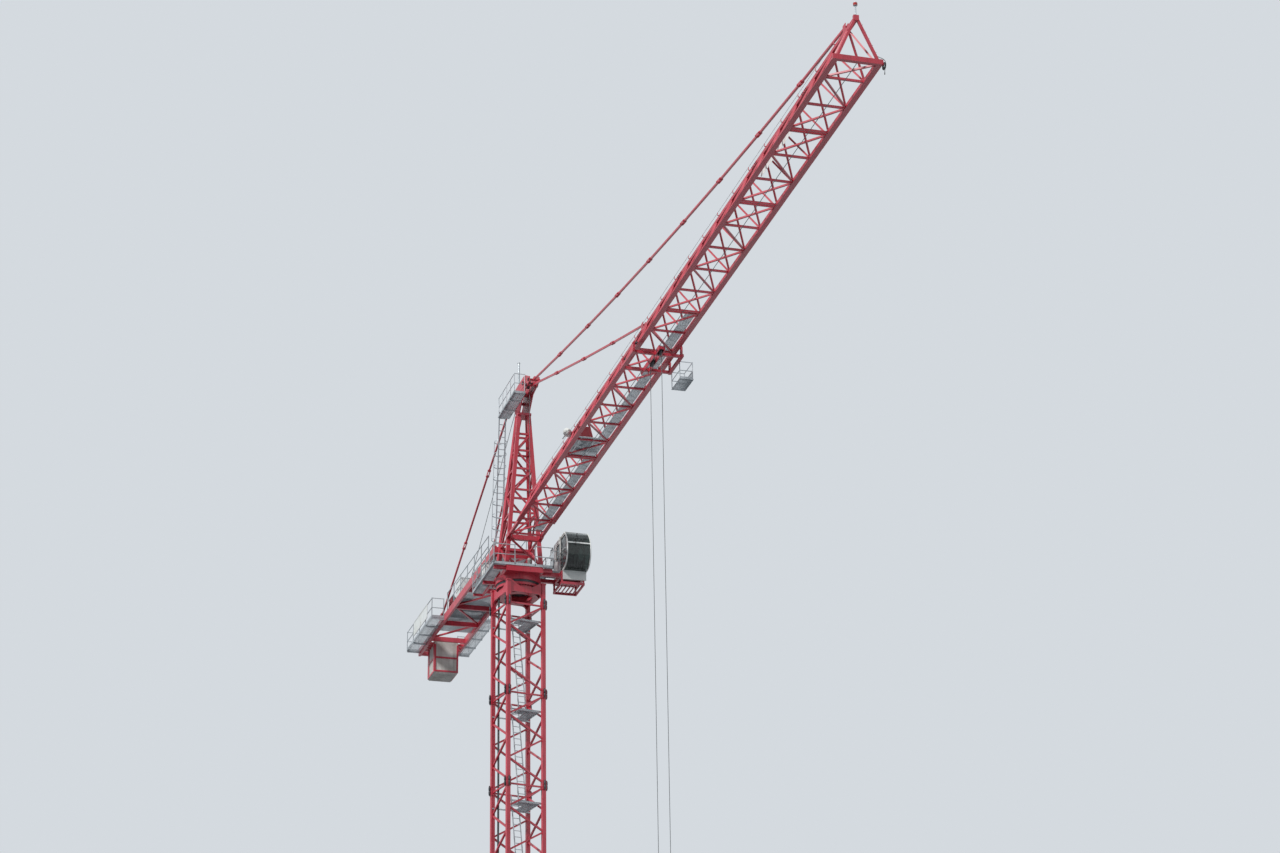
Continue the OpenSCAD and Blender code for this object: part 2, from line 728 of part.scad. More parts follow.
module door_outline(gap = 0) {
    translate([door_x + gap, 30 + gap]) square([door_w - 2 * gap, cab_h - 110 - 2 * gap]);
}

module cab_shell() {
    front = 830 * cab_l / 1260;
    t = cab_t + seat_gap;
    color(white_paint) at_jib() {
        cab_slice(0, cab_t) difference() {
            cab_profile();
            side_window();
            door_outline();
        }
        cab_slice(cab_w - cab_t, cab_w) difference() {
            cab_profile();
            side_window();
            translate([90, 430]) square([door_x + door_w - 90, cab_h - 500]);
        }
        translate([cab_x, cab_y, cab_z]) {
            box([0, t, 0], [front, cab_w - t, cab_t]);
            box([0, t, cab_t + seat_gap], [cab_t, cab_w - t, cab_h - cab_t - seat_gap]);
            box([0, t, cab_h - cab_t], [940 * cab_l / 1260, cab_w - t, cab_h]);
            box([front - 30, 10, -220], [front - 10, cab_w - 10, -seat_gap]);
        }
        cab_slice(t, cab_w - t) intersection() {
            difference() {
                cab_profile();
                cab_profile(cab_t);
            }
            translate([1000, 560]) square([400, 36]);
        }
    }
}

module cab_door() {
    color(white_paint) at_jib() {
        cab_slice(2, cab_t - 4) difference() {
            door_outline(door_gap);
            translate([door_x + 45, 420]) square([door_w - 90, cab_h - 550]);
        }
        translate([cab_x + door_x + door_w - 40, cab_y - 26, cab_z + 380]) {
            box([0, 0, 0], [14, 12, 130]);
            for (z = [4, 114]) box([0, 11, z], [14, 29, z + 12]);
        }
        for (z = [130, 700]) translate([cab_x + door_x, cab_y, cab_z + z]) {
            box([-45, -6, 0], [70, -seat_gap, 50]);
            box([door_gap + 6, -3, 0], [70, 4, 50]);
            translate([0, -9, -5]) cylinder(h = 60, r = 6, $fn = round_fn);
        }
    }
}

module cab_glass() {
    t = cab_t + seat_gap;
    color([0.1, 0.14, 0.13]) at_jib() {
        for (y = [6, cab_w - cab_t + 6]) cab_slice(y, y + 8) offset(delta = -seat_gap) side_window();
        cab_slice(cab_w - cab_t + 6, cab_w - cab_t + 14) translate([90 + seat_gap, 430 + seat_gap])
            square([door_x + door_w - 90 - 2 * seat_gap, cab_h - 500 - 2 * seat_gap]);
        cab_slice(6, 14) translate([door_x + 45 + seat_gap, 420 + seat_gap])
            square([door_w - 90 - 2 * seat_gap, cab_h - 550 - 2 * seat_gap]);
        cab_slice(t, cab_w - t) difference() {
            cab_profile(2);
            cab_profile(10);
            translate([-10, -10]) square([850 * cab_l / 1260, 2000]);
            translate([850 * cab_l / 1260 - 30, cab_h - cab_t - seat_gap]) square([1000, 200]);
            translate([900, 560 - seat_gap]) square([400, 36 + 2 * seat_gap]);
        }
    }
}

module cab_seat() {
    color(dark_steel) at_jib() translate([cab_x + 520, cab_y + cab_w / 2, cab_z + cab_t + seat_gap]) {
        box([-60, -60, 0], [60, 60, 160]);
        box([-130, -120, 159], [130, 120, 215]);
        box([-150, -115, 214], [-100, 115, 560]);
        for (s = [-1, 1]) box([-60, s * 175 - 40, 0], [200, s * 175 + 40, 270]);
    }
}

module cab_carrier() {
    top = cab_z - seat_gap;
    y0 = cab_y - 25;
    y1 = cab_y + cab_w;
    x0 = cab_x;
    x1 = cab_x + 790 * cab_l / 1260;
    color(dark_paint) at_jib() {
        for (x = [x0 + 100, x0 + 560]) box([x, jib_w / 2 + 60 + seat_gap, -890], [x + 80, y1, top - 20]);
        difference() {
            box([x0, y0, top - 110], [x1, y1, top]);
            box([x0 + 50, y0 + 50, top - 120], [x1 - 50, y1 - 50, top + 10]);
        }
        for (x = [x0 + 5, x1 - 45], y = [y0 + 5, y1 - 85]) box([x, y, -1080], [x + 40, y + 40, top - 100]);
        difference() {
            box([x0, y0, -1110], [x1, y1 - 40, -1050]);
            box([x0 + 30, y0 + 30, -1120], [x1 - 30, y1 - 70, -1040]);
        }
        for (i = [1:5]) box([x0 + 20, y0 + (y1 - 40 - y0) * i / 6 - 10, -1090], [x1 - 20, y0 + (y1 - 40 - y0) * i / 6 + 10, -1060]);
    }
}

module trolley_frame() {
    z = -165;
    a = trolley_l / 2;
    color(dark_paint) at_jib() translate([trolley_x, 0, 0]) {
        for (x = [-a, a]) box([x - 30, -560, z - 30], [x + 30, 560, z + 30]);
        for (s = [-1, 1]) {
            box([-a - 60, s * 530 - 30, z - 30], [a + 60, s * 530 + 30, z + 30]);
            for (x = [-a, a]) box([x - 60, s * 520 - 10, z], [x + 60, s * 520 + 10, 60]);
            box([-a - 60, s * 60 - 8, z - 60], [a + 330, s * 60 + 8, z + 50]);
        }
        box([a + 310, -60, z - 30], [a + 330, 60, z + 30]);
    }
}

module trolley_wheels() {
    z = rail_z + rail_t + wheel_r + 0.3;
    color(dark_steel) at_jib() translate([trolley_x, 0, 0]) for (s = [-1, 1], x = [-trolley_l / 2, trolley_l / 2]) {
        wheel([x, s * 449, z], wheel_r, 30);
        wheel([x, s * 471.8, z], 14, 76);
    }
}

module trolley_sheaves() {
    color(dark_steel) at_jib() translate([trolley_x + block_x, 0, -165]) for (x = [-sheave_x, sheave_x]) {
        wheel([x, 0, 0], sheave_r, 40);
        wheel([x, 0, 0], 20, 103.6);
    }
}

module trolley_basket() {
    color(galvanized) at_jib() translate([trolley_x, 560, -200]) {
        box([-456, 0, -350], [156, 306, -350 + deck_t]);
        for (x = [-440, 140], y = [10, 290]) bar([x, y, -345], [x, y, 60], rail_bar);
        for (z = [-150, 48]) {
            for (y = [10, 290]) bar([-440, y, z], [140, y, z], rail_bar - 4);
            for (x = [-440, 140]) bar([x, 10, z], [x, 290, z], rail_bar - 6);
        }
    }
}

module hook_block() {
    color(paint) translate([trolley_x + block_x, 0, block_z]) {
        for (s = [-1, 1]) translate([0, s * 53 + 8, 0]) rotate([90, 0, 0]) linear_extrude(16)
            polygon([[-sheave_x - 130, 60], [sheave_x + 130, 60], [sheave_x + 130, -60],
                [120, -260], [-120, -260], [-sheave_x - 130, -60]]);
        for (x = [-sheave_x, sheave_x]) wheel([x, 0, 0], 18, 130);
        box([-80, -50, -260], [80, 50, -190]);
    }
    color(dark_steel) translate([trolley_x + block_x, 0, block_z])
        for (x = [-sheave_x, sheave_x]) wheel([x, 0, 0], sheave_r, 40);
}

module hook() {
    color(dark_steel) translate([trolley_x + block_x, 0, block_z - 260.2]) {
        translate([0, 0, -150]) cylinder(h = 150, r = 30, $fn = round_fn);
        translate([0, 0, -60]) cylinder(h = 60, r = 60, $fn = round_fn);
        translate([0, 0, -230]) rotate([90, 0, 0]) rotate(-200) rotate_extrude(angle = 290, $fn = round_fn)
            translate([90, 0]) circle(r = 26, $fn = 32);
    }
}

module hoist_ropes() {
    o = sheave_x + sheave_r + rope_r + 0.2;
    color(dark_steel) for (x = [-o, o]) translate([trolley_x + block_x + x, 0, block_z])
        cylinder(h = jib_z - 165 - block_z, r = rope_r, $fn = 16);
}

base_frame();
mast_section(0);  // mast_section_1
mast_section(1);  // mast_section_2
mast_section(2);  // mast_section_3
mast_section(3);  // mast_section_4
mast_section(4);  // mast_section_5
mast_section(5);  // mast_section_6
mast_platforms();
mast_ladders();
mast_cable();
ring_support();
slewing_ring();
slewing_frame();
slewing_drives();
slewing_deck();
slewing_railing();
tower_head();
head_block();
head_sheaves();
head_deck();
head_ladder();
jib_section(0);  // jib_section_1
jib_section(1);  // jib_section_2
jib_section(2);  // jib_section_3
jib_section(3);  // jib_section_4
jib_section(4);  // jib_section_5
jib_section(5);  // jib_section_6
jib_walkway();
trolley_winch();
winch_shield();
jib_sheet();
jib_tip();
tip_light();
tip_cable();
outer_tie();
inner_tie();
rear_ties();
rope_runs();
counter_frame();
counter_deck();
counter_railing();
sign_panel();
hoist_winch();
control_cabinet();
counterweights();
weight_frame();
cab_carrier();
cab_shell();
cab_door();
cab_glass();
cab_seat();
trolley_frame();
trolley_wheels();
trolley_sheaves();
trolley_basket();
hook_block();
hook();
hoist_ropes();
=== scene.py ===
# %% [markdown]
# # A tower crane, dressed on its CAD frame
# The crane is a 1:2 scale model of a hammerhead tower crane: a lattice mast, a slewing
# top, a long trolley jib held by tie bars, and a short counter-jib with concrete slabs.
# The CAD frame brings the steelwork in metres. This lesson adds what the steelworker,
# the electrician and the weather add: gratings, bolts, ropes, a furnished cab and paint.

# %% Load the frame
import math
import bpy
from mathutils import Matrix, Vector


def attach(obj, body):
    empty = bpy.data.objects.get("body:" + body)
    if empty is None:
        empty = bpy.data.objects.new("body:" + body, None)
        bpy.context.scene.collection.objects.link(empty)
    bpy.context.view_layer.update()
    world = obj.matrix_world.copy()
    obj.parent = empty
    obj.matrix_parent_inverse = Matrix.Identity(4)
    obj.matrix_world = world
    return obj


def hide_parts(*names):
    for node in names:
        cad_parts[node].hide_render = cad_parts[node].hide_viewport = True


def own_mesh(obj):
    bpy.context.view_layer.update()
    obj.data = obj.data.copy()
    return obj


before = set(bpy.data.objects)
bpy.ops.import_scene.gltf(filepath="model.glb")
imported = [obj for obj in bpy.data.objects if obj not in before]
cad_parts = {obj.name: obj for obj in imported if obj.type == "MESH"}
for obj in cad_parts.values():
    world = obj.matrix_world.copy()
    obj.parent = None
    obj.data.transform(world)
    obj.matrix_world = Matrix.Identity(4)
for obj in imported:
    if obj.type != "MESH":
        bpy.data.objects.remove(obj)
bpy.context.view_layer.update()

# %% [markdown]
# ## Heights that the pieces share
# Most pieces are placed by the jib's bottom chords, as on the drawing of the real crane.
# The counter-jib rises a little towards its end, so its pieces are modelled level and
# then tilted with one matrix.

# %% Shared places
jib_z = 15.3
deck_z = jib_z - 0.76
trolley_x = 11.575
mast_turn = Matrix.Rotation(math.radians(9.7), 4, "Z")
at_jib = Matrix.Translation((0, 0, jib_z))
on_counter = Matrix.Translation((-0.6, 0, jib_z)) @ Matrix.Rotation(math.radians(1.6), 4, "Y")
print("jib at", jib_z, "m, deck at", round(deck_z, 3), "m")

# %% [markdown]
# ## The camera
# The photograph was taken from far away and from below, with a long lens, so the jib
# comes towards us up and to the right. The camera's place and turn were worked out from
# the mast, the jib and the cab, whose sizes are known.

# %% Camera
yaw, pitch, roll = 1.284693243, 0.403789593, -0.015257294
eye = Vector((71.30123, -17.85075, -12.9732))
focal_pixels = 3242.9885
photo_width = 1280
sensor_width = 36
level = Vector((-math.sin(yaw), math.cos(yaw), 0))
look = level * math.cos(pitch) + Vector((0, 0, math.sin(pitch)))
right = Vector((math.cos(yaw), math.sin(yaw), 0))
up = right.cross(look)
right, up = right * math.cos(roll) + up * math.sin(roll), up * math.cos(roll) - right * math.sin(roll)
bpy.ops.object.select_all(action="DESELECT")
bpy.ops.object.camera_add()
camera = bpy.context.object
camera.matrix_world = Matrix.Translation(eye) @ Matrix((right, up, -look)).transposed().to_4x4()
camera.data.sensor_width = sensor_width
camera.data.lens = focal_pixels * sensor_width / photo_width
camera.data.clip_start = 0.5
camera.data.clip_end = 400
bpy.context.scene.camera = camera
bpy.context.scene.view_settings.view_transform = "Standard"
print("lens", round(camera.data.lens, 1), "mm")

# %% [markdown]
# ## Light and background
# A large soft sun from the upper left stands for the photograph's sun, and a pale world
# fills the shade, as a white studio would. The world shows its pale colour only to the
# camera, to mirrors and through glass, so that the background doesn't over-light the crane.

# %% Sun and fill
def sun(name, towards, strength, angle):
    """A sun lamp whose light comes from the given direction, softened by its angle in degrees."""
    bpy.ops.object.light_add(type="SUN")
    lamp = bpy.context.object
    lamp.name = name
    lamp.rotation_euler = Vector(towards).to_track_quat("Z", "Y").to_euler()
    lamp.data.energy = strength
    lamp.data.angle = math.radians(angle)
    return lamp


sun("key_sun", (0.42, -0.80, 0.72), 3.1, 6)
sun("soft_fill", (0.75, 0.55, 0.25), 0.35, 60)
print("lamps:", [lamp.name for lamp in bpy.data.lights])

# %% [markdown]
# The world has two faces. Rays that only carry light meet a dim blue fill, and rays that are
# seen, mirrored or let through meet the pale backdrop. The Light Path node tells them apart.

# %% World
world = bpy.data.worlds.new("pale_studio")
bpy.context.scene.world = world
world.use_nodes = True
world_tree = world.node_tree
world_tree.nodes.clear()
paths = world_tree.nodes.new("ShaderNodeLightPath")
ambient = world_tree.nodes.new("ShaderNodeBackground")
ambient.inputs["Color"].default_value = (0.80, 0.88, 1.0, 1)
ambient.inputs["Strength"].default_value = 0.34
backdrop = world_tree.nodes.new("ShaderNodeBackground")
backdrop.inputs["Color"].default_value = (0.66, 0.70, 0.74, 1)
backdrop.inputs["Strength"].default_value = 1.0
seen = world_tree.nodes.new("ShaderNodeMath")
seen.operation = "MAXIMUM"
seen_or_through = world_tree.nodes.new("ShaderNodeMath")
seen_or_through.operation = "MAXIMUM"
pick = world_tree.nodes.new("ShaderNodeMixShader")
out = world_tree.nodes.new("ShaderNodeOutputWorld")
world_tree.links.new(paths.outputs["Is Camera Ray"], seen.inputs[0])
world_tree.links.new(paths.outputs["Is Glossy Ray"], seen.inputs[1])
world_tree.links.new(seen.outputs[0], seen_or_through.inputs[0])
world_tree.links.new(paths.outputs["Is Transmission Ray"], seen_or_through.inputs[1])
world_tree.links.new(seen_or_through.outputs[0], pick.inputs[0])
world_tree.links.new(ambient.outputs[0], pick.inputs[1])
world_tree.links.new(backdrop.outputs[0], pick.inputs[2])
world_tree.links.new(pick.outputs[0], out.inputs["Surface"])
print("world nodes:", len(world_tree.nodes))

# %% [markdown]
# ## The floor
# A round pale floor carries the base frame and catches the shadow. The photograph was taken
# from lower down, so the floor lets the camera through where it is seen from below. To the
# light that bounces up to the crane it is dark, because the real crane has dark undersides.

# %% Floor
floor_radius = 40.0
bpy.ops.object.select_all(action="DESELECT")
bpy.ops.mesh.primitive_circle_add(vertices=128, radius=floor_radius, fill_type="NGON",
                                  location=(0, 0, -0.001))
floor = bpy.context.object
floor.name = "floor"
pale = bpy.data.materials.new("pale_floor")
pale.use_nodes = True
floor_nodes = pale.node_tree.nodes
floor_links = pale.node_tree.links
floor_shader = floor_nodes["Principled BSDF"]
floor_ray = floor_nodes.new("ShaderNodeLightPath")
floor_colour = floor_nodes.new("ShaderNodeMix")
floor_colour.data_type = "RGBA"
floor_colour.inputs["A"].default_value = (0.72, 0.73, 0.74, 1)
floor_colour.inputs["B"].default_value = (0.20, 0.21, 0.22, 1)
floor_links.new(floor_ray.outputs["Is Diffuse Ray"], floor_colour.inputs["Factor"])
floor_links.new(floor_colour.outputs["Result"], floor_shader.inputs["Base Color"])
floor_shader.inputs["Roughness"].default_value = 0.9
floor_side = floor_nodes.new("ShaderNodeNewGeometry")
floor_clear = floor_nodes.new("ShaderNodeBsdfTransparent")
floor_mix = floor_nodes.new("ShaderNodeMixShader")
floor_links.new(floor_side.outputs["Backfacing"], floor_mix.inputs["Fac"])
floor_links.new(floor_shader.outputs["BSDF"], floor_mix.inputs[1])
floor_links.new(floor_clear.outputs["BSDF"], floor_mix.inputs[2])
floor_links.new(floor_mix.outputs["Shader"], floor_nodes["Material Output"].inputs["Surface"])
floor.data.materials.append(pale)
print("floor", 2 * floor_radius, "m across")

# %% [markdown]
# ## Shared effects as node groups
# Weather works on every finish in the same ways: paint fades in large patches, rain
# draws grime down in streaks, and chips at random places show the primer and the rust.
# Each effect is a shader node group, so one change to it shows on every material.

# %% Helpers for shader nodes
def add_node(tree, kind, values=None, **settings):
    """A shader node with its settings, and values or links for its inputs."""
    made = tree.nodes.new("ShaderNode" + kind)
    for key, value in settings.items():
        setattr(made, key, value)
    for key, value in (values or {}).items():
        if isinstance(value, bpy.types.NodeSocket):
            tree.links.new(value, made.inputs[key])
        else:
            made.inputs[key].default_value = value
    return made


def new_group(name, takes, gives):
    """An empty node group with named inputs and outputs."""
    tree = bpy.data.node_groups.new(name, "ShaderNodeTree")
    for label, kind, value in takes:
        socket = tree.interface.new_socket(label, in_out="INPUT", socket_type="NodeSocket" + kind)
        socket.default_value = value
    for label, kind in gives:
        tree.interface.new_socket(label, in_out="OUTPUT", socket_type="NodeSocket" + kind)
    return tree, tree.nodes.new("NodeGroupInput"), tree.nodes.new("NodeGroupOutput")


def blend(tree, factor, low, high, mode="MIX"):
    """A colour between low and high, by a factor."""
    mixed = tree.nodes.new("ShaderNodeMix")
    mixed.data_type = "RGBA"
    mixed.blend_type = mode
    for socket, value in ((mixed.inputs[0], factor), (mixed.inputs[6], low), (mixed.inputs[7], high)):
        if isinstance(value, bpy.types.NodeSocket):
            tree.links.new(value, socket)
        else:
            socket.default_value = value
    return mixed.outputs[2]


def band(tree, value, start, end, low=0.0, high=1.0):
    """A value spread from the range start to end over the range low to high."""
    ramp = add_node(tree, "MapRange", {"Value": value, "From Min": start, "From Max": end, "To Min": low,
                                       "To Max": high})
    return ramp.outputs[0]


def product(tree, a, b):
    """Two values multiplied."""
    return add_node(tree, "Math", {0: a, 1: b}, operation="MULTIPLY").outputs[0]


def total(tree, a, b):
    """Two values added."""
    return add_node(tree, "Math", {0: a, 1: b}, operation="ADD").outputs[0]


def object_space(tree):
    """The object's own coordinates, which a texture sticks to."""
    return add_node(tree, "TexCoord").outputs["Object"]


def noise(tree, vector, scale, detail, roughness=0.5):
    """The value of a noise texture."""
    texture = add_node(tree, "TexNoise", {"Vector": vector, "Scale": scale, "Detail": detail,
                                          "Roughness": roughness})
    return texture.outputs["Fac"]


def raised(tree, shader, height, strength, distance):
    """Lets a height raise a shader's surface, by way of a Bump node."""
    relief = add_node(tree, "Bump", {"Strength": strength, "Distance": distance, "Height": height})
    tree.links.new(relief.outputs["Normal"], shader.inputs["Normal"])


def srgb(r, g, b):
    """A colour as read on a screen, from 0 to 255, in the linear values that nodes take."""
    def lin(v):
        v = v / 255
        return v / 12.92 if v <= 0.04045 else ((v + 0.055) / 1.055) ** 2.4
    return (lin(r), lin(g), lin(b), 1)


# %% The weather group
def build_weather():
    """Paint that fades in patches, streaks, chips down to rust and gathers dust on top."""
    tree, given, result = new_group("weather", [
        ("Coat", "Color", srgb(180, 60, 74)), ("Faded", "Color", srgb(205, 105, 115)),
        ("Grime", "Color", srgb(60, 30, 30)), ("Rust", "Color", srgb(96, 50, 28)),
        ("Fading", "Float", 0.5), ("Streaks", "Float", 0.5), ("Chips", "Float", 0.5), ("Gloss", "Float", 0.4),
    ], [("Color", "Color"), ("Roughness", "Float"), ("Height", "Float")])
    coords = object_space(tree)
    patches = noise(tree, coords, 0.9, 5.0, 0.6)
    fade = product(tree, band(tree, patches, 0.42, 0.66), given.outputs["Fading"])
    color = blend(tree, fade, given.outputs["Coat"], given.outputs["Faded"])
    rain = add_node(tree, "Mapping", {"Vector": coords, "Scale": (26, 26, 1.7)})
    runs = noise(tree, rain.outputs[0], 1.0, 4.0, 0.55)
    soil = noise(tree, coords, 6.0, 6.0)
    streak = product(tree, band(tree, runs, 0.5, 0.72), band(tree, soil, 0.35, 0.65))
    streak = product(tree, streak, given.outputs["Streaks"])
    color = blend(tree, streak, color, given.outputs["Grime"])
    specks = noise(tree, coords, 34.0, 7.0, 0.7)
    areas = noise(tree, coords, 2.6, 3.0)
    worn = total(tree, specks, product(tree, areas, 0.42))
    chip = product(tree, band(tree, worn, 0.86, 0.89), given.outputs["Chips"])
    color = blend(tree, chip, color, given.outputs["Rust"])
    top = add_node(tree, "SeparateXYZ", {0: add_node(tree, "NewGeometry").outputs["Normal"]})
    settled = product(tree, band(tree, top.outputs["Z"], 0.75, 1.0), band(tree, soil, 0.3, 0.8, 0.1, 0.5))
    color = blend(tree, settled, color, srgb(150, 138, 124))
    rough = total(tree, given.outputs["Gloss"], product(tree, fade, 0.22))
    rough = total(tree, rough, product(tree, total(tree, chip, settled), 0.35))
    peel = noise(tree, coords, 160.0, 2.0)
    height = total(tree, product(tree, peel, 0.25), product(tree, chip, -0.9))
    tree.links.new(color, result.inputs["Color"])
    tree.links.new(rough, result.inputs["Roughness"])
    tree.links.new(height, result.inputs["Height"])
    return tree


weather = build_weather()
print("weather group:", len(weather.nodes), "nodes")

# %% [markdown]
# Hot-dip zinc cools into crystals, the spangle, and then dulls to a soft grey. A Voronoi
# texture gives every crystal its own shade, and noise breaks the pattern up.

# %% The zinc group
def build_zinc():
    """Galvanised steel: crystals in grey shades under brown runs."""
    tree, given, result = new_group("zinc_spangle", [
        ("Light", "Color", srgb(196, 202, 205)), ("Dark", "Color", srgb(146, 152, 156)),
        ("Crystal", "Float", 60.0),
    ], [("Color", "Color"), ("Roughness", "Float"), ("Height", "Float")])
    coords = object_space(tree)
    crystals = add_node(tree, "TexVoronoi", {"Vector": coords, "Scale": given.outputs["Crystal"]})
    shade = add_node(tree, "SeparateColor", {0: crystals.outputs["Color"]}).outputs[0]
    cloudy = noise(tree, coords, 3.0, 5.0)
    factor = total(tree, product(tree, shade, 0.45), band(tree, cloudy, 0.35, 0.7, 0.0, 0.55))
    color = blend(tree, factor, given.outputs["Light"], given.outputs["Dark"])
    stain = add_node(tree, "Mapping", {"Vector": coords, "Scale": (30, 30, 2)})
    runs = noise(tree, stain.outputs[0], 1.0, 3.0)
    color = blend(tree, band(tree, runs, 0.6, 0.75, 0.0, 0.35), color, srgb(104, 88, 72))
    tree.links.new(color, result.inputs["Color"])
    tree.links.new(band(tree, shade, 0.0, 1.0, 0.42, 0.62), result.inputs["Roughness"])
    tree.links.new(product(tree, crystals.outputs["Distance"], 0.4), result.inputs["Height"])
    return tree


zinc = build_zinc()
print("zinc group:", len(zinc.nodes), "nodes")

# %% [markdown]
# ## The finishes
# Each material keeps its own shader and takes colour, roughness and height from the
# groups. Numbers that are the same all over, such as metallic, sit on the shader itself.

# %% Materials
def new_material(name, group, settings, metallic=0.0, bump=0.3, depth=0.002, coat=0.0):
    """A material that takes its colour, roughness and height from a group."""
    made = bpy.data.materials.new(name)
    made.use_nodes = True
    tree = made.node_tree
    shader = tree.nodes["Principled BSDF"]
    effect = tree.nodes.new("ShaderNodeGroup")
    effect.node_tree = group
    for key, value in settings.items():
        effect.inputs[key].default_value = value
    tree.links.new(effect.outputs["Color"], shader.inputs["Base Color"])
    tree.links.new(effect.outputs["Roughness"], shader.inputs["Roughness"])
    raised(tree, shader, effect.outputs["Height"], bump, depth)
    shader.inputs["Metallic"].default_value = metallic
    shader.inputs["Coat Weight"].default_value = coat
    return made


red_paint = new_material("red_paint", weather, {
    "Coat": srgb(184, 46, 62), "Faded": srgb(206, 84, 98),
    "Grime": srgb(74, 22, 28), "Rust": srgb(104, 52, 34),
    "Fading": 0.7, "Streaks": 0.55, "Chips": 0.75, "Gloss": 0.36}, coat=0.1)
# A darker copy of the red paint: painted shade, for the winch's shield and the winch.
shaded_red = new_material("dark_red_paint", weather, {
    "Coat": srgb(122, 24, 34), "Faded": srgb(150, 52, 62),
    "Grime": srgb(48, 16, 18), "Rust": srgb(88, 44, 28),
    "Fading": 0.6, "Streaks": 0.6, "Chips": 0.7, "Gloss": 0.4})
white_paint = new_material("white_paint", weather, {
    "Coat": srgb(226, 229, 226), "Faded": srgb(206, 208, 200),
    "Grime": srgb(128, 120, 106), "Rust": srgb(140, 84, 48),
    "Fading": 0.7, "Streaks": 0.5, "Chips": 0.4, "Gloss": 0.34}, coat=0.1)
galvanized = new_material("galvanized_steel", zinc, {"Crystal": 60.0}, metallic=0.55, bump=0.12)
dark_steel = new_material("dark_steel", weather, {
    "Coat": srgb(50, 52, 56), "Faded": srgb(78, 80, 82),
    "Grime": srgb(24, 22, 20), "Rust": srgb(86, 56, 38),
    "Fading": 0.8, "Streaks": 0.5, "Chips": 0.8, "Gloss": 0.42}, metallic=0.4)
print("finishes:", [m.name for m in bpy.data.materials])

# %% [markdown]
# Wire rope is a bundle of twisted strands. At this size their shape is only a texture: a
# slanting wave on Object coordinates, which raises the strands a little and darkens the grooves
# between them with painted shade.

# %% Wire rope
def plain_material(name, color, roughness, metallic=0.0):
    """A material with a plain shader, ready for nodes of its own."""
    made = bpy.data.materials.new(name)
    made.use_nodes = True
    shader = made.node_tree.nodes["Principled BSDF"]
    shader.inputs["Base Color"].default_value = color
    shader.inputs["Roughness"].default_value = roughness
    shader.inputs["Metallic"].default_value = metallic
    return made, made.node_tree, shader


wire_rope, tree, shader = plain_material("wire_rope", srgb(70, 72, 74), 0.5, 0.7)
coords = object_space(tree)
lay = add_node(tree, "Mapping", {"Vector": coords, "Scale": (60, 60, 34), "Rotation": (0.5, 0.5, 0)})
strands = add_node(tree, "TexWave", {"Vector": lay.outputs[0], "Scale": 1.0, "Distortion": 0.6},
                   bands_direction="Z")
# painted shade: the rope is darker where the wave is low, in the grooves between strands
strand_shade = blend(tree, strands.outputs["Fac"], srgb(38, 38, 40), srgb(126, 128, 130))
tree.links.new(strand_shade, shader.inputs["Base Color"])
raised(tree, shader, strands.outputs["Fac"], 0.5, 0.002)
print("made", wire_rope.name)

# %% [markdown]
# Rubber is nearly black, but dust settles on it in clouds and takes its gloss away. So one
# noise texture drives both the colour and the roughness.

# %% Rubber
rubber, tree, shader = plain_material("cable_rubber", srgb(26, 26, 28), 0.6)
coords = object_space(tree)
dusty = noise(tree, coords, 9.0, 6.0)
tree.links.new(blend(tree, band(tree, dusty, 0.4, 0.8, 0.0, 0.6), srgb(22, 22, 24), srgb(84, 80, 76)),
               shader.inputs["Base Color"])
tree.links.new(band(tree, dusty, 0.3, 0.8, 0.45, 0.8), shader.inputs["Roughness"])
print("made", rubber.name)

# %% [markdown]
# Cast concrete is cloudy, has rain runs down its sides and small pores. A Voronoi texture
# gives the pores, which dent the surface and are darkened with painted shade.

# %% Concrete
concrete, tree, shader = plain_material("cast_concrete", srgb(150, 146, 140), 0.85)
coords = object_space(tree)
clouds = noise(tree, coords, 3.2, 8.0, 0.62)
tone = blend(tree, band(tree, clouds, 0.35, 0.68), srgb(212, 209, 202), srgb(176, 171, 163))
rain = add_node(tree, "Mapping", {"Vector": coords, "Scale": (16, 16, 1.1)})
runs = noise(tree, rain.outputs[0], 1.0, 4.0)
tone = blend(tree, band(tree, runs, 0.5, 0.75, 0.0, 0.45), tone, srgb(134, 127, 117))
pores = add_node(tree, "TexVoronoi", {"Vector": coords, "Scale": 46.0}).outputs["Distance"]
# the pores: dents whose darker colour is painted shade
shaded_pits = band(tree, pores, 0.06, 0.16)
tone = blend(tree, shaded_pits, srgb(120, 115, 108), tone)
tree.links.new(tone, shader.inputs["Base Color"])
grit = noise(tree, coords, 130.0, 4.0)
raised(tree, shader, total(tree, shaded_pits, product(tree, grit, 0.3)), 0.5, 0.004)
print("made", concrete.name)

# %% [markdown]
# The cab's glass is tinted and never quite clean. Transmission stays plain, and only its
# colour and roughness change a little with the film of dust.

# %% Tinted glass
cab_glass, tree, shader = plain_material("tinted_glass", srgb(120, 138, 132), 0.04)
shader.inputs["Transmission Weight"].default_value = 1.0
shader.inputs["IOR"].default_value = 1.45
coords = object_space(tree)
film = noise(tree, coords, 5.0, 5.0)
tree.links.new(blend(tree, film, srgb(88, 104, 100), srgb(120, 134, 130)), shader.inputs["Base Color"])
tree.links.new(band(tree, film, 0.4, 0.8, 0.03, 0.16), shader.inputs["Roughness"])
print("made", cab_glass.name)

# %% [markdown]
# Two cloths follow: the seat's coarse cover, and the thin sheet on the jib. Wave textures
# draw the threads, and noise gives fluff and dirt.

# %% Cloths
seat_cover, tree, shader = plain_material("seat_cover", srgb(44, 46, 52), 0.85)
coords = object_space(tree)
weave = add_node(tree, "TexWave", {"Vector": coords, "Scale": 120.0, "Distortion": 1.5},
                 bands_direction="DIAGONAL").outputs["Fac"]
fluff = noise(tree, coords, 22.0, 5.0)
nap = total(tree, product(tree, weave, 0.5), product(tree, fluff, 0.4))
tree.links.new(blend(tree, nap, srgb(30, 32, 38), srgb(82, 84, 92)), shader.inputs["Base Color"])
raised(tree, shader, weave, 0.35, 0.001)

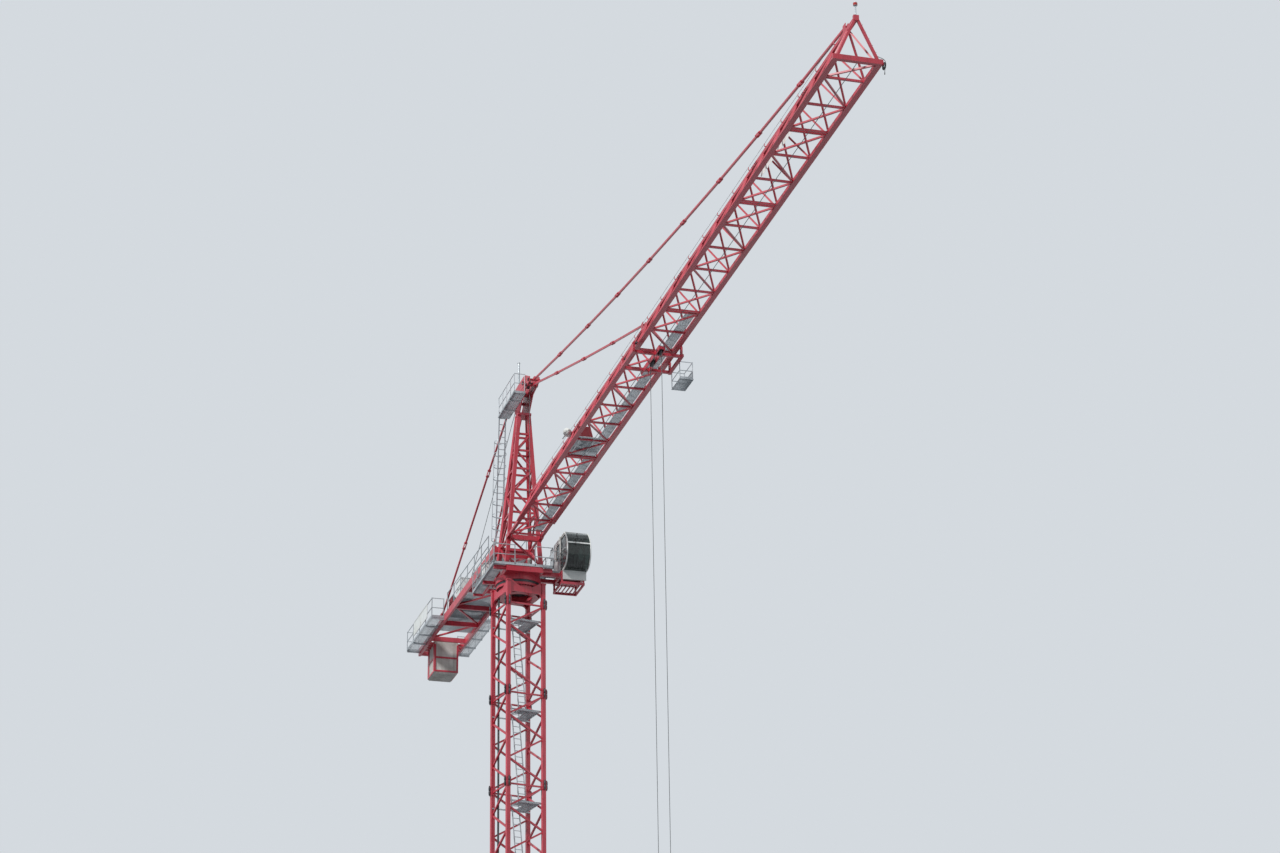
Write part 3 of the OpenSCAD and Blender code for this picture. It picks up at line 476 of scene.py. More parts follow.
sheet_cloth, tree, shader = plain_material("sheet_cloth", srgb(228, 228, 222), 0.8)
coords = object_space(tree)
warp = add_node(tree, "TexWave", {"Vector": coords, "Scale": 90.0}, bands_direction="X").outputs["Fac"]
weft = add_node(tree, "TexWave", {"Vector": coords, "Scale": 90.0}, bands_direction="Z").outputs["Fac"]
soil = noise(tree, coords, 5.0, 6.0)
tree.links.new(blend(tree, band(tree, soil, 0.4, 0.75, 0.0, 0.6), srgb(232, 232, 228), srgb(186, 182, 170)),
               shader.inputs["Base Color"])
raised(tree, shader, total(tree, warp, weft), 0.25, 0.001)
print("made", seat_cover.name, "and", sheet_cloth.name)

# %% [markdown]
# ## Paint on the CAD nodes
# Each CAD node takes one finish. The names say what the part is, so one table is enough.

# %% Assign finishes
finishes = {
    "red_paint": (red_paint, ["base_frame", "mast_section_", "ring_support", "slewing_frame", "tower_head",
                              "jib_section_", "jib_tip", "outer_tie", "inner_tie", "rear_ties",
                              "counter_frame", "weight_frame", "hook_block", "head_block", "cab_carrier",
                              "trolley_frame"]),
    # the darker copy of the red paint is painted shade
    "dark_red_paint": (shaded_red, ["winch_shield", "hoist_winch"]),
    "galvanized_steel": (galvanized, ["mast_platforms", "mast_ladders", "tip_light", "slewing_deck",
                                      "slewing_railing", "head_deck", "head_ladder", "jib_walkway",
                                      "trolley_winch", "counter_deck", "counter_railing",
                                      "trolley_basket"]),
    "white_paint": (white_paint, ["sign_panel", "control_cabinet", "cab_shell", "cab_door"]),
    "dark_steel": (dark_steel, ["slewing_ring", "slewing_drives", "head_sheaves", "trolley_wheels",
                                "trolley_sheaves", "hook"]),
    "wire_rope": (wire_rope, ["rope_runs", "hoist_ropes"]),
    "cable_rubber": (rubber, ["mast_cable", "tip_cable"]),
    "concrete": (concrete, ["counterweights"]),
    "cab_glass": (cab_glass, ["cab_glass"]),
    "seat_cover": (seat_cover, ["cab_seat"]),
    "sheet_cloth": (sheet_cloth, ["jib_sheet"]),
}
painted = 0
for material, starts in finishes.values():
    for name, node_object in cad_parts.items():
        if any(name == s or (s.endswith("_") and name.startswith(s)) for s in starts):
            node_object.data.materials.clear()
            node_object.data.materials.append(material)
            painted += 1
print(painted, "of", len(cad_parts), "nodes painted")

# %% [markdown]
# ## Modelling by hand, in a few helpers
# Steelwork is blocks, rods and plates that repeat. Each is added as a primitive at its size
# and place, shaped in edit mode or with a modifier that is then applied, and copied where it
# repeats. Pieces that share a finish are joined, so that the crane keeps a short parts list.

# %% Helpers that select, place and apply
def alone(piece):
    """Selects one object only and makes it active, which the next operator needs."""
    bpy.ops.object.select_all(action="DESELECT")
    piece.select_set(True)
    bpy.context.view_layer.objects.active = piece


def apply_place(piece):
    """Writes an object's place, turn and scale into its mesh."""
    alone(piece)
    bpy.ops.object.transform_apply(location=True, rotation=True, scale=True)
    return piece


def apply_modifier(piece, kind, **settings):
    """Adds one modifier and applies it at once."""
    alone(piece)
    modifier = piece.modifiers.new(kind.lower(), kind)
    for key, value in settings.items():
        setattr(modifier, key, value)
    bpy.ops.object.modifier_apply(modifier=modifier.name)
    return piece


def grouped(parts):
    """Joins the parts into one object."""
    bpy.ops.object.select_all(action="DESELECT")
    for part in parts:
        part.select_set(True)
    bpy.context.view_layer.objects.active = parts[0]
    if len(parts) > 1:
        bpy.ops.object.join()
    return bpy.context.view_layer.objects.active


# %% Helpers for blocks and rods
def block(low, high, bevel=0.0, segments=1):
    """A box between two corners, with its edges bevelled where a width is given."""
    bpy.ops.object.select_all(action="DESELECT")
    bpy.ops.mesh.primitive_cube_add(size=1, location=[(a + b) / 2 for a, b in zip(low, high)])
    piece = bpy.context.object
    piece.scale = [b - a for a, b in zip(low, high)]
    apply_place(piece)
    if bevel:
        apply_modifier(piece, "BEVEL", width=bevel, segments=segments, limit_method="ANGLE")
    return piece


def facing(way):
    """The matrix of a turn that points the Z axis along a way."""
    return Vector(way).to_track_quat("Z", "Y").to_matrix().to_4x4()


def rod(start, end, radius, sides=12, bevel=0.0):
    """A round bar between two points."""
    start, end = Vector(start), Vector(end)
    bpy.ops.object.select_all(action="DESELECT")
    bpy.ops.mesh.primitive_cylinder_add(vertices=sides, radius=radius, depth=(end - start).length)
    piece = bpy.context.object
    piece.matrix_world = Matrix.Translation((start + end) / 2) @ facing(end - start)
    apply_place(piece)
    if bevel:
        apply_modifier(piece, "BEVEL", width=bevel, segments=2, limit_method="ANGLE",
                       angle_limit=math.radians(50))
    return piece


def in_rows(piece, *steps):
    """Repeats a piece in rows: each step is a count and a way."""
    for count, step in steps:
        if count > 1:
            apply_modifier(piece, "ARRAY", count=count, use_relative_offset=False, use_constant_offset=True,
                           constant_offset_displace=step)
    return piece


def copied(piece, places):
    """Copies of a piece at each place, each with its own mesh. The first piece goes."""
    copies = []
    for place in places:
        twin = piece.copy()
        twin.data = piece.data.copy()
        bpy.context.collection.objects.link(twin)
        twin.matrix_world = place
        copies.append(apply_place(twin))
    bpy.data.objects.remove(piece)
    return copies


def at(x, y, z):
    """The matrix of a place."""
    return Matrix.Translation((x, y, z))


def turned(angle, axis="Z"):
    """The matrix of a turn, in degrees."""
    return Matrix.Rotation(math.radians(angle), 4, axis)


def joined(name, parts, material, body, place=None, replaces=(), smooth=None):
    """One named piece from its parts, which rides on a body and may stand for CAD nodes."""
    piece = grouped(parts)
    piece.name = name
    piece.data.materials.clear()
    piece.data.materials.append(material)
    if place is not None:
        piece.matrix_world = place
        apply_place(piece)
    if smooth:
        alone(piece)
        bpy.ops.object.shade_smooth_by_angle(angle=math.radians(smooth))
    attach(piece, body)
    if replaces:
        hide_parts(*replaces)
    faces = sum(len(f.vertices) - 2 for f in piece.data.polygons)
    print(name, faces, "triangles")
    return piece


# %% [markdown]
# ## Open gratings
# The decks of a crane are welded gratings: upright flat bars a finger apart, tied by cross
# rods and framed by an edge flat. From below one sees light through them. One bar is
# modelled and repeated with an Array modifier, which keeps every bar a plain box.

# %% A grating
bar_half = 0.0012
tie_half = 0.0015
tie_deep = 0.004
tie_pitch = 0.055
edge = 0.004


def slats(low, high, axis, pitch, half, least):
    """One slat in the middle of its gap, repeated along an axis from low to high."""
    span = high[axis] - low[axis]
    count = max(least, int(span / pitch))
    step = span / count
    start, end, stride = list(low), list(high), [0, 0, 0]
    start[axis] = low[axis] + step / 2 - half
    end[axis] = low[axis] + step / 2 + half
    stride[axis] = step
    return in_rows(block(start, end), (count, stride))


def grating(x0, x1, y0, y1, top, bars_along="Y", pitch=0.018, deep=0.012):
    """Upright bars one pitch apart, flat ties across them, and a flat round the edge."""
    low = top - deep
    across = "XY".index(bars_along) ^ 1
    bars = slats((x0, y0, low), (x1, y1, top), across, pitch, bar_half, 2)
    ties = slats((x0, y0, top - tie_deep), (x1, y1, top), across ^ 1, tie_pitch, tie_half, 1)
    return [bars, ties,
            block((x0, y0, low), (x1, y0 + edge, top)), block((x0, y1 - edge, low), (x1, y1, top)),
            block((x0, y0, low), (x0 + edge, y1, top)), block((x1 - edge, y0, low), (x1, y1, top))]


def kick_plates(points, z, high=0.05, thick=0.004):
    """Upright edge plates along a path, which keep tools from falling."""
    plates = []
    for (xa, ya), (xb, yb) in zip(points, points[1:]):
        low = (min(xa, xb) - thick / 2, min(ya, yb) - thick / 2, z)
        plates.append(block(low, (max(xa, xb) + thick / 2, max(ya, yb) + thick / 2, z + high)))
    return plates


# %% [markdown]
# The slewing deck goes round the tower head, so its grating is laid in six fields, each cut
# to the place where it lies.

# %% Slewing deck
deck_top = deck_z + 0.012
deck_fields = [(-0.90, -0.54, -0.78, 0.70), (0.62, 0.69, -0.78, 0.70), (-0.54, 0.62, -0.78, -0.495),
               (-0.54, 0.62, 0.495, 0.70), (-1.50, -0.90, -0.78, -0.495), (-0.01, 0.51, 0.70, 0.90)]
deck = []
for field in deck_fields:
    deck += grating(*field, deck_top)
deck += kick_plates([(-1.488, -0.512), (-1.488, -0.778), (0.688, -0.778), (0.688, 0.698), (0.512, 0.698)],
                    deck_top)
deck += kick_plates([(-0.012, 0.698), (-0.898, 0.698), (-0.898, 0.25)], deck_top)
joined("deck_grating", deck, galvanized, "upper_works", replaces=["slewing_deck"])

# %% [markdown]
# On the counter-jib the middle deck has its bars across the way, and the two outer walkways
# have theirs along it. Flat bearers carry the walkways.

# %% Counter-jib deck
counter_top = 0.052
walk_in, walk_out = 0.51, 0.85
counter = grating(-6.41, -0.30, -0.45, 0.45, counter_top)
for side in (-1, 1):
    near, far = sorted((side * walk_in, side * walk_out))
    kick_in, kick_out = side * 0.53, side * 0.846
    counter += grating(-8.20, -5.20, near, far, 0.0, bars_along="X")
    counter += kick_plates([(-8.19, kick_in), (-8.19, kick_out), (-5.205, kick_out), (-5.205, kick_in)], 0.0)
    for x in (-8.19, -7.45, -6.70, -5.95, -5.24):
        counter.append(block((x, near, -0.052), (x + 0.03, far, -0.0125)))
joined("counter_grating", counter, galvanized, "upper_works", place=on_counter,
       replaces=["counter_deck"])

# %% [markdown]
# The walkway in the jib is laid in lengths of a metre, with a small gap between them.

# %% Jib walkway
walkway = []
walkway_end = 13.8
for length in range(13):
    start = 1.12 + length
    walkway += grating(start, min(start + 0.985, walkway_end), 0.11, 0.33, jib_z + 0.032)
joined("jib_grating", walkway, galvanized, "upper_works", replaces=["jib_walkway"])

# %% [markdown]
# Each mast section has a rest platform, cut out where the ladder comes through. Two angle
# bars carry it on the diagonals, and two more tie them.

# %% Mast platforms
section_high = 2.25
mast_foot = 0.2
mast_post = 0.455
inner = mast_post - 0.045
rim = inner - 0.005
ladder_x, ladder_y, hole_y = -0.29, -0.15, 0.101
floor_bits = []
for level in range(1, 7):
    z = mast_foot + section_high * level - 0.42
    top = z + 0.012
    floor_bits += grating(-rim, rim, hole_y, rim, top)
    floor_bits += grating(-rim, ladder_x, ladder_y, hole_y, top)
    floor_bits += grating(0.0, rim, ladder_y, hole_y, top)
    floor_bits += grating(ladder_x, 0.0, ladder_y, -hole_y, top)
    for side in (-1, 1):
        middle = side * (inner - 0.015)
        reach = inner + 0.08
        floor_bits.append(block((middle - 0.015, -reach, z - 0.03), (middle + 0.015, reach, z - 0.024)))
        floor_bits.append(block((middle - 0.003, -reach, z - 0.0245), (middle + 0.003, reach, z)))
    for y in (-0.145, inner - 0.03):
        floor_bits.append(block((-inner + 0.03, y, z - 0.03), (inner - 0.03, y + 0.004, z)))
        floor_bits.append(block((-inner + 0.03, y, z - 0.006), (inner - 0.03, y + 0.025, z)))
joined("mast_gratings", floor_bits, galvanized, "mast", place=mast_turn,
       replaces=["mast_platforms"])

# %% [markdown]
# ## Bolted joints
# Every section of a mast or jib ends in a joint that a crew can reach with a wrench. One hex
# bolt with its washer is modelled and copied to every joint, with the nut end outside.

# %% Bolts
def hex_bolt(size=0.016, shank=0.0):
    """A bolt's washer, head and end, pointing up from the face that it clamps."""
    parts = [rod((0, 0, 0), (0, 0, size * 0.2), size * 1.1, 16),
             rod((0, 0, size * 0.18), (0, 0, size), size * 0.92, 6),
             rod((0, 0, size * 0.9), (0, 0, size * 1.35), size * 0.5, 10)]
    if shank:
        parts.append(rod((0, 0, -shank), (0, 0, 0.001), size * 0.5, 10))
    return grouped(parts)


# %% [markdown]
# At each joint of the mast, two sleeves on every post take a long bolt in tension. Sleeves,
# bolt and nuts are one group, which is copied to all joints at once.

# %% Joints of the mast
sleeve = []
for side in (-1, 1):
    sleeve.append(rod((0, 0, side * 0.0465 - 0.0385), (0, 0, side * 0.0465 + 0.0385), 0.024, 14, 0.003))
    sleeve.append(rod((0, 0, side * 0.095 - 0.010), (0, 0, side * 0.095 + 0.010), 0.021, 6))
sleeve.append(rod((0, 0, -0.125), (0, 0, 0.125), 0.0115, 10))
places = []
for level in range(1, 7):
    for corner in range(4):
        for dx, dy in ((0.079, 0.0), (0.0, 0.079)):
            joint = at(mast_post + dx, mast_post + dy, mast_foot + section_high * level)
            places.append(mast_turn @ turned(90 * corner) @ joint)
joined("mast_joint_bolts", copied(grouped(sleeve), places), dark_steel, "mast", smooth=40)

# %% [markdown]
# The slewing ring is screwed down from below by many bolts, and each foot of the base frame
# by four anchor bolts. Both sets stand on circles, so their places come from turns.

# %% Ring and anchor bolts
ring_count = 48
places = [turned(360 / ring_count * k) @ at(0.505, 0, 14.1395) @ turned(180, "X") for k in range(ring_count)]
joined("ring_bolts", copied(hex_bolt(0.013), places), dark_steel, "mast", smooth=40)

places = []
for corner in range(4):
    foot = mast_turn @ turned(45 + 90 * corner) @ at(1.5, 0, 0.04)
    for k in range(4):
        places.append(foot @ turned(45 + 90 * k) @ at(0.15, 0, 0))
joined("anchor_bolts", copied(hex_bolt(0.022, 0.038), places), dark_steel, "mast", smooth=40)

# %% [markdown]
# The jib comes in sections, and where two meet, splice plates are bolted over the chords.
# The plates' places are written once, for one joint, and repeated at every joint.

# %% Splices on the jib's chords
plates = []
bolts = []
low_bolts = (-0.095, -0.045, 0.045, 0.095)
top_bolts = (-0.115, -0.05, 0.05, 0.115)
for x in (5.8, 10.8, 13.8, 18.8, 21.8):
    for side in (-1, 1):
        middle = side * 0.39
        a, b = sorted((side * 0.355, side * 0.345))
        plates.append(block((x - 0.13, a, -0.028), (x + 0.13, b, 0.028), 0.002))
        plates.append(block((x - 0.13, middle - 0.028, 0.035), (x + 0.13, middle + 0.028, 0.043), 0.002))
        bolts += [at(x + dx, side * 0.345, 0) @ turned(90 * side, "X") for dx in low_bolts]
        bolts += [at(x + dx, middle, 0.043) for dx in low_bolts]
        a, b = sorted((side * 0.035, side * 0.044))
        plates.append(block((x - 0.15, a, 0.80), (x + 0.15, b, 0.858), 0.002))
        bolts += [at(x + dx, side * 0.044, 0.829) @ turned(-90 * side, "X") for dx in top_bolts]
joined("chord_splices", plates, red_paint, "upper_works", place=at_jib)
joined("splice_bolts", copied(hex_bolt(0.011), bolts), dark_steel, "upper_works",
       place=at_jib, smooth=40)

# %% [markdown]
# ## Brackets and lifeline on the top chord
# A rigger who walks the jib hooks on to a thin wire that runs along the top chord. It is
# held by small brackets, which show in the photograph as bumps along the chord's edge.

# %% Lifeline
posts = [1.5 + i for i in range(23)]
bracket = [block((-0.012, -0.06, 0.865), (0.012, -0.052, 0.93), 0.002),
           block((-0.012, -0.06, 0.865), (0.012, 0.03, 0.872), 0.002)]
joined("lifeline_brackets", copied(grouped(bracket), [at(x, 0, 0) for x in posts]), red_paint,
       "upper_works", place=at_jib)
wire_run = rod((1.49, -0.056, 0.922), (23.51, -0.056, 0.922), 0.003, 8)
joined("lifeline", [wire_run], wire_rope, "upper_works", place=at_jib, smooth=60)

# %% [markdown]
# ## Machines on the slewing deck
# Two geared motors turn the crane. A real one is a flanged gearbox with a finned electric
# motor on top and a domed fan cover. The housing is a stack of discs, and one cooling fin is
# modelled and copied round it.

# %% Motor paint and motor
grey_paint = new_material("machine_grey", weather, {
    "Coat": srgb(158, 162, 160), "Faded": srgb(182, 184, 178),
    "Grime": srgb(82, 78, 70), "Rust": srgb(112, 74, 48),
    "Fading": 0.7, "Streaks": 0.7, "Chips": 0.6, "Gloss": 0.42}, coat=0.05)


def stack(steps, sides=32, bevel=0.003):
    """Round discs on one upright axis, each with its heights and radius."""
    return [rod((0, 0, a), (0, 0, b), r, sides, bevel) for a, b, r in steps]


def finned_motor(low, high, radius, fins=28):
    """The parts of an electric motor: housing, cooling fins, fan cover and wiring box."""
    body = stack([(low, high, radius * 0.84), (low, low + 0.014, radius), (high - 0.05, high, radius * 0.98)])
    fin = block((radius * 0.8, -0.0018, low + 0.02), (radius, 0.0018, high - 0.055))
    body += copied(fin, [turned(360 * k / fins) for k in range(fins)])
    lids = [rod((0, 0, high - 0.002), (0, 0, high + 0.006), radius * f, 24) for f in (0.3, 0.9)]
    box_side = block((-0.035, radius * 0.86, low + 0.06), (0.035, radius * 1.2, low + 0.13), 0.005, 2)
    return body + lids + [box_side]


# %% Slewing drives
drive = stack([(0, 0.022, 0.070), (0.022, 0.060, 0.062), (0.060, 0.150, 0.050), (0.150, 0.172, 0.056)])
drive += finned_motor(0.172, 0.432, 0.055, 24)
drive += copied(hex_bolt(0.008), [turned(45 * k) @ at(0.063, 0, 0.022) for k in range(8)])
places = [at(side * 0.06, side * 0.27, deck_z) @ turned(90 * side) for side in (-1, 1)]
joined("slewing_motors", copied(grouped(drive), places), grey_paint, "upper_works",
       replaces=["slewing_drives"], smooth=35)

# %% [markdown]
# The cabinet on the deck switches these motors. Two doors with handles and a rain roof set
# it apart from a plain box.

# %% Switch cabinet
cabinet = [block((-0.86, -0.70, 14.60), (-0.60, -0.53, 15.02), 0.008, 2)]
cabinet.append(block((-0.875, -0.715, 15.018), (-0.585, -0.52, 15.032), 0.004))
for door_x, handle_x in ((-0.84, -0.748), (-0.725, -0.720)):
    cabinet.append(block((door_x, -0.704, 14.62), (door_x + 0.105, -0.699, 15.0), 0.003))
    cabinet.append(block((handle_x, -0.712, 14.78), (handle_x + 0.008, -0.703, 14.86), 0.002))
for foot_x in (-0.85, -0.64):
    cabinet.append(block((foot_x, -0.69, 14.552), (foot_x + 0.03, -0.55, 14.602)))
joined("switch_cabinet", cabinet, white_paint, "upper_works")

# %% [markdown]
# ## The hoist winch
# The winch pays out the rope that lifts the load. Its drum lies between two cheek plates and
# shows the laid rope turn by turn, so one turn is a ring that an Array modifier repeats.

# %% Helpers for outlines, plates and rings
def outlined(points, fill_type="NOTHING"):
    """A ring of corners at the points, open or filled with one face."""
    bpy.ops.object.select_all(action="DESELECT")
    bpy.ops.mesh.primitive_circle_add(vertices=len(points), radius=1, fill_type=fill_type)
    piece = bpy.context.object
    for corner, point in zip(piece.data.vertices, points):
        corner.co = point
    return piece


def leave_edit_mode():
    """Turns all faces outwards and leaves edit mode."""
    bpy.ops.mesh.select_all(action="SELECT")
    bpy.ops.mesh.normals_make_consistent(inside=False)
    bpy.ops.object.mode_set(mode="OBJECT")


def extruded(outline, low, high, bevel=0.004):
    """A plate with an outline in X and Z, as thick as from low to high in Y."""
    piece = outlined([(x, low, z) for x, z in outline], "NGON")
    bpy.ops.object.mode_set(mode="EDIT")
    bpy.ops.mesh.select_all(action="SELECT")
    bpy.ops.mesh.extrude_region_move(TRANSFORM_OT_translate={"value": (0, high - low, 0)})
    leave_edit_mode()
    if bevel:
        apply_modifier(piece, "BEVEL", width=bevel, segments=1, limit_method="ANGLE")
    return piece


def ring(center, radius, thick, axis, turns=40, sides=6):
    """A torus about an axis."""
    bpy.ops.object.select_all(action="DESELECT")
    bpy.ops.mesh.primitive_torus_add(major_radius=radius, minor_radius=thick, major_segments=turns,
                                     minor_segments=sides)
    piece = bpy.context.object
    piece.matrix_world = Matrix.Translation(center) @ facing(axis)
    return apply_place(piece)


# %% Winch frame
winch_at = on_counter @ at(-4.95, 0, 0)
z = counter_top
drum_z = 0.32
cheek_in, cheek_out = 0.392, 0.410
cheek = [(-0.26, 0), (0.70, 0), (0.70, 0.06), (0.26, 0.15), (0.15, 0.40), (-0.15, 0.40), (-0.26, 0.15)]
cheek = [(x, z + up) for x, up in cheek]
steel = [extruded(cheek, -cheek_out, -cheek_in), extruded(cheek, cheek_in, cheek_out)]
for side in (-1, 1):
    a, b = sorted((side * cheek_in, side * 0.372))
    steel.append(block((-0.26, a, z), (0.70, b, z + 0.012)))
    steel.append(block((0.24, a, z), (0.252, b, z + 0.15)))
    steel.append(block((-0.252, a, z), (-0.24, b, z + 0.15)))
    steel.append(rod((0, side * 0.380, drum_z), (0, side * 0.425, drum_z), 0.075, 32, 0.004))
    bolt_places = []
    for k in range(6):
        t = math.pi / 3 * k
        bolt_at = at(0.06 * math.cos(t), side * 0.424, drum_z + 0.06 * math.sin(t))
        bolt_places.append(bolt_at @ turned(-90 * side, "X"))
    steel += copied(hex_bolt(0.010), bolt_places)
for x in (-0.25, 0.33, 0.65):
    steel.append(block((x, -0.381, z), (x + 0.04, 0.381, z + 0.006)))
    steel.append(block((x, -0.381, z + 0.034), (x + 0.04, 0.381, z + 0.04)))
    steel.append(block((x + 0.017, -0.381, z + 0.005), (x + 0.023, 0.381, z + 0.035)))
steel.append(block((0.33, -0.20, z + 0.039), (0.69, 0.20, z + 0.060), 0.003))
# painted shade: the winch frame takes the darker copy of the red paint
joined("winch_frame", steel, shaded_red, "upper_works", place=winch_at,
       replaces=["hoist_winch"], smooth=30)

# %% [markdown]
# The drum is a barrel on an axle between two flanges. One turn of rope, a thin ring, is
# repeated along the barrel at a pitch just over the rope's thickness.

# %% Winch drum and rope
drum = [rod((0, -0.381, drum_z), (0, 0.381, drum_z), 0.150, 48)]
drum.append(rod((0, -cheek_in, drum_z), (0, cheek_in, drum_z), 0.05, 24))
for side in (-1, 1):
    drum.append(rod((0, side * 0.332, drum_z), (0, side * 0.348, drum_z), 0.210, 56, 0.003))
    drum.append(ring((0, side * 0.349, drum_z), 0.19, 0.008, (0, 1, 0)))
joined("winch_drum", drum, dark_steel, "upper_works", place=winch_at, smooth=30)
rope_turns, rope_pitch = 52, 0.0124
lay = in_rows(ring((0, -0.322, drum_z), 0.156, 0.0062, (0, 1, 0)), (rope_turns, (0, rope_pitch, 0)))
joined("winch_rope", [lay], wire_rope, "upper_works", place=winch_at, smooth=60)

# %% [markdown]
# The winch's motor lies beside the drum on its plate, with a gearbox at one end. It is the
# same finned motor as on the slewing deck, made longer and thicker.

# %% Winch motor
motor_z = z + 0.17
lying = at(0.475, 0, motor_z) @ turned(90, "X")
motor = copied(grouped(finned_motor(-0.21, 0.19, 0.115, 32)), [lying])
motor.append(rod((0.475, 0.19, motor_z), (0.475, 0.29, motor_z), 0.09, 32, 0.004))
motor.append(block((0.40, 0.27, z + 0.06), (0.56, 0.375, z + 0.29), 0.012, 2))
motor.append(block((0.40, -0.17, z + 0.058), (0.55, -0.13, z + 0.11), 0.003))
motor.append(block((0.40, 0.10, z + 0.058), (0.55, 0.14, z + 0.11), 0.003))
joined("winch_motor", motor, grey_paint, "upper_works", place=winch_at, smooth=35)

# %% [markdown]
# ## The trolley's winch
# A small winch in the jib pulls the trolley along. It stands on a grating of its own, and
# has the same parts as the large one: cheeks, drum, rope turns and a finned motor.

# %% Deck of the trolley winch
z = 0.032
reel_x, reel_z = 6.25, 0.15
deck = grating(5.86, 6.90, -0.33, 0.10, z)
for y in (-0.275, 0.035):
    deck.append(block((5.87, y, 0), (6.89, y + 0.025, 0.020)))
joined("trolley_winch_deck", deck, galvanized, "upper_works", place=at_jib,
       replaces=["trolley_winch"])

# %% Drum of the trolley winch
cheek = [(6.17, z), (6.33, z), (6.30, 0.13), (6.275, 0.185), (6.225, 0.185), (6.20, 0.13)]
reel = [extruded(cheek, y, y + 0.008, 0.001) for y in (-0.299, 0.051)]
reel.append(rod((reel_x, -0.29, reel_z), (reel_x, 0.05, reel_z), 0.02, 20))
reel.append(rod((reel_x, -0.27, reel_z), (reel_x, 0.03, reel_z), 0.074, 40))
for y in (-0.275, 0.035):
    reel.append(rod((reel_x, y - 0.006, reel_z), (reel_x, y + 0.006, reel_z), 0.105, 48, 0.002))
joined("trolley_winch_drum", reel, dark_steel, "upper_works", place=at_jib, smooth=30)
lay = in_rows(ring((reel_x, -0.262, reel_z), 0.077, 0.0045, (0, 1, 0), 32), (32, (0, 0.0091, 0)))
joined("trolley_winch_rope", [lay], wire_rope, "upper_works", place=at_jib, smooth=60)

# %% Motor of the trolley winch
lying = at(6.55, -0.155, z + 0.10) @ turned(90, "Y")
motor = copied(grouped(finned_motor(-0.15, 0.15, 0.075, 24)), [lying])
motor.append(block((6.385, -0.235, z), (6.43, -0.075, z + 0.185), 0.01, 2))
motor += [block((x, -0.21, z), (x + 0.04, -0.10, z + 0.04)) for x in (6.45, 6.60)]
joined("trolley_winch_motor", motor, grey_paint, "upper_works", place=at_jib, smooth=35)

# %% [markdown]
# ## The control cabinet
# The winch's controls sit in a sheet-metal cabinet with a rain roof. Doors, handles
# and louvres are what a bare box lacks.

# %% Control cabinet
z = counter_top
x0 = -4.19
door_pitch, door_wide = 0.272, 0.262
parts = [block((x0, -0.44, z + 0.04), (x0 + 0.56, -0.12, z + 0.52), 0.006, 2)]
parts.append(block((x0 - 0.01, -0.45, z + 0.519), (x0 + 0.57, -0.11, z + 0.535), 0.004))
for x in (x0 + 0.02, x0 + 0.50):
    parts.append(block((x, -0.42, z), (x + 0.04, -0.14, z + 0.041)))
for side, y in ((-1, -0.44), (1, -0.12)):
    for door, handle in enumerate((0.235, 0.012)):
        a = x0 + 0.012 + door_pitch * door
        low, high = sorted((y, y + side * 0.007))
        parts.append(block((a, low, z + 0.055), (a + door_wide, high, z + 0.505), 0.003))
        low, high = sorted((y + side * 0.006, y + side * 0.024))
        parts.append(block((a + handle, low, z + 0.25), (a + handle + 0.015, high, z + 0.34), 0.003))
        low, high = sorted((y + side * 0.005, y + side * 0.013))
        louvre = block((a + 0.06, low, z + 0.08), (a + 0.20, high, z + 0.084))
        parts.append(in_rows(louvre, (7, (0, 0, 0.012))))
joined("winch_cabinet", parts, white_paint, "upper_works", place=on_counter,
       replaces=["control_cabinet"])

# %% [markdown]
# ## Counterweights and side panel
# A crane lifts its own concrete slabs into place, so each slab has two eyes on top. The
# panel on the walkway's rail is a thin sheet with a folded frame behind it.

# %% Lifting eyes
eyes = []
slab_pitch = 0.195
for slab in range(4):
    x = -7.95 + slab_pitch * slab + 0.09
    eyes += [ring((x, side * 0.19, counter_top), 0.024, 0.007, (1, 0, 0), 24, 8) for side in (-1, 1)]
joined("lifting_eyes", eyes, dark_steel, "upper_works", place=on_counter, smooth=60)

# %% Side panel
y = -0.48 - 0.3702
panel_low, panel_high = 0.12, 0.50
panel = [block((-7.3, y - 0.008, panel_low), (-5.7, y, panel_high), 0.002)]
for low in (panel_low, panel_high - 0.018):
    panel.append(block((-7.3, y - 0.016, low), (-5.7, y - 0.007, low + 0.018), 0.002))
for x in (-7.3, -6.51, -5.718):
    panel.append(block((x, y - 0.016, panel_low), (x + 0.018, y - 0.007, panel_high), 0.002))
joined("side_panel", panel, white_paint, "upper_works", place=on_counter,
       replaces=["sign_panel"])

# %% [markdown]
# ## The trolley's basket
# A fitter rides in a basket beside the trolley. It is a grating floor with tube posts, two
# rails all round and a wire mesh on the far side. One wire is modelled and set in rows.

# %% Trolley basket
bx, by, bz = trolley_x, 0.56, jib_z - 0.55
left, right_end = bx - 0.44, bx + 0.14
near, far = by + 0.010, by + 0.290
rails = (0.2, 0.398)
basket = grating(bx - 0.456, bx + 0.156, by, by + 0.306, bz + 0.012, pitch=0.02)
for x in (left, right_end):
    basket += [rod((x, y, bz + 0.002), (x, y, bz + 0.41), 0.010, 12) for y in (near, far)]
    basket += [rod((x, near, bz + h), (x, far, bz + h), 0.008, 12) for h in rails]
for y in (near, far):
    basket += [rod((left, y, bz + h), (right_end, y, bz + h), 0.008, 12) for h in rails]
upright = block((left, far - 0.0015, bz + 0.02), (left + 0.002, far + 0.0015, bz + 0.195))
basket.append(in_rows(upright, (30, (0.02, 0, 0))))
level_wire = block((left, far - 0.001, bz + 0.03), (right_end, far + 0.001, bz + 0.0315))
basket.append(in_rows(level_wire, (9, (0, 0, 0.02))))
kick_left, kick_right = bx - 0.446, bx + 0.146
kick_far = far + 0.006
kick_path = [(kick_left, near), (kick_left, kick_far), (kick_right, kick_far), (kick_right, near)]
basket += kick_plates(kick_path, bz + 0.012)
joined("work_basket", basket, galvanized, "trolley", replaces=["trolley_basket"],
       smooth=40)

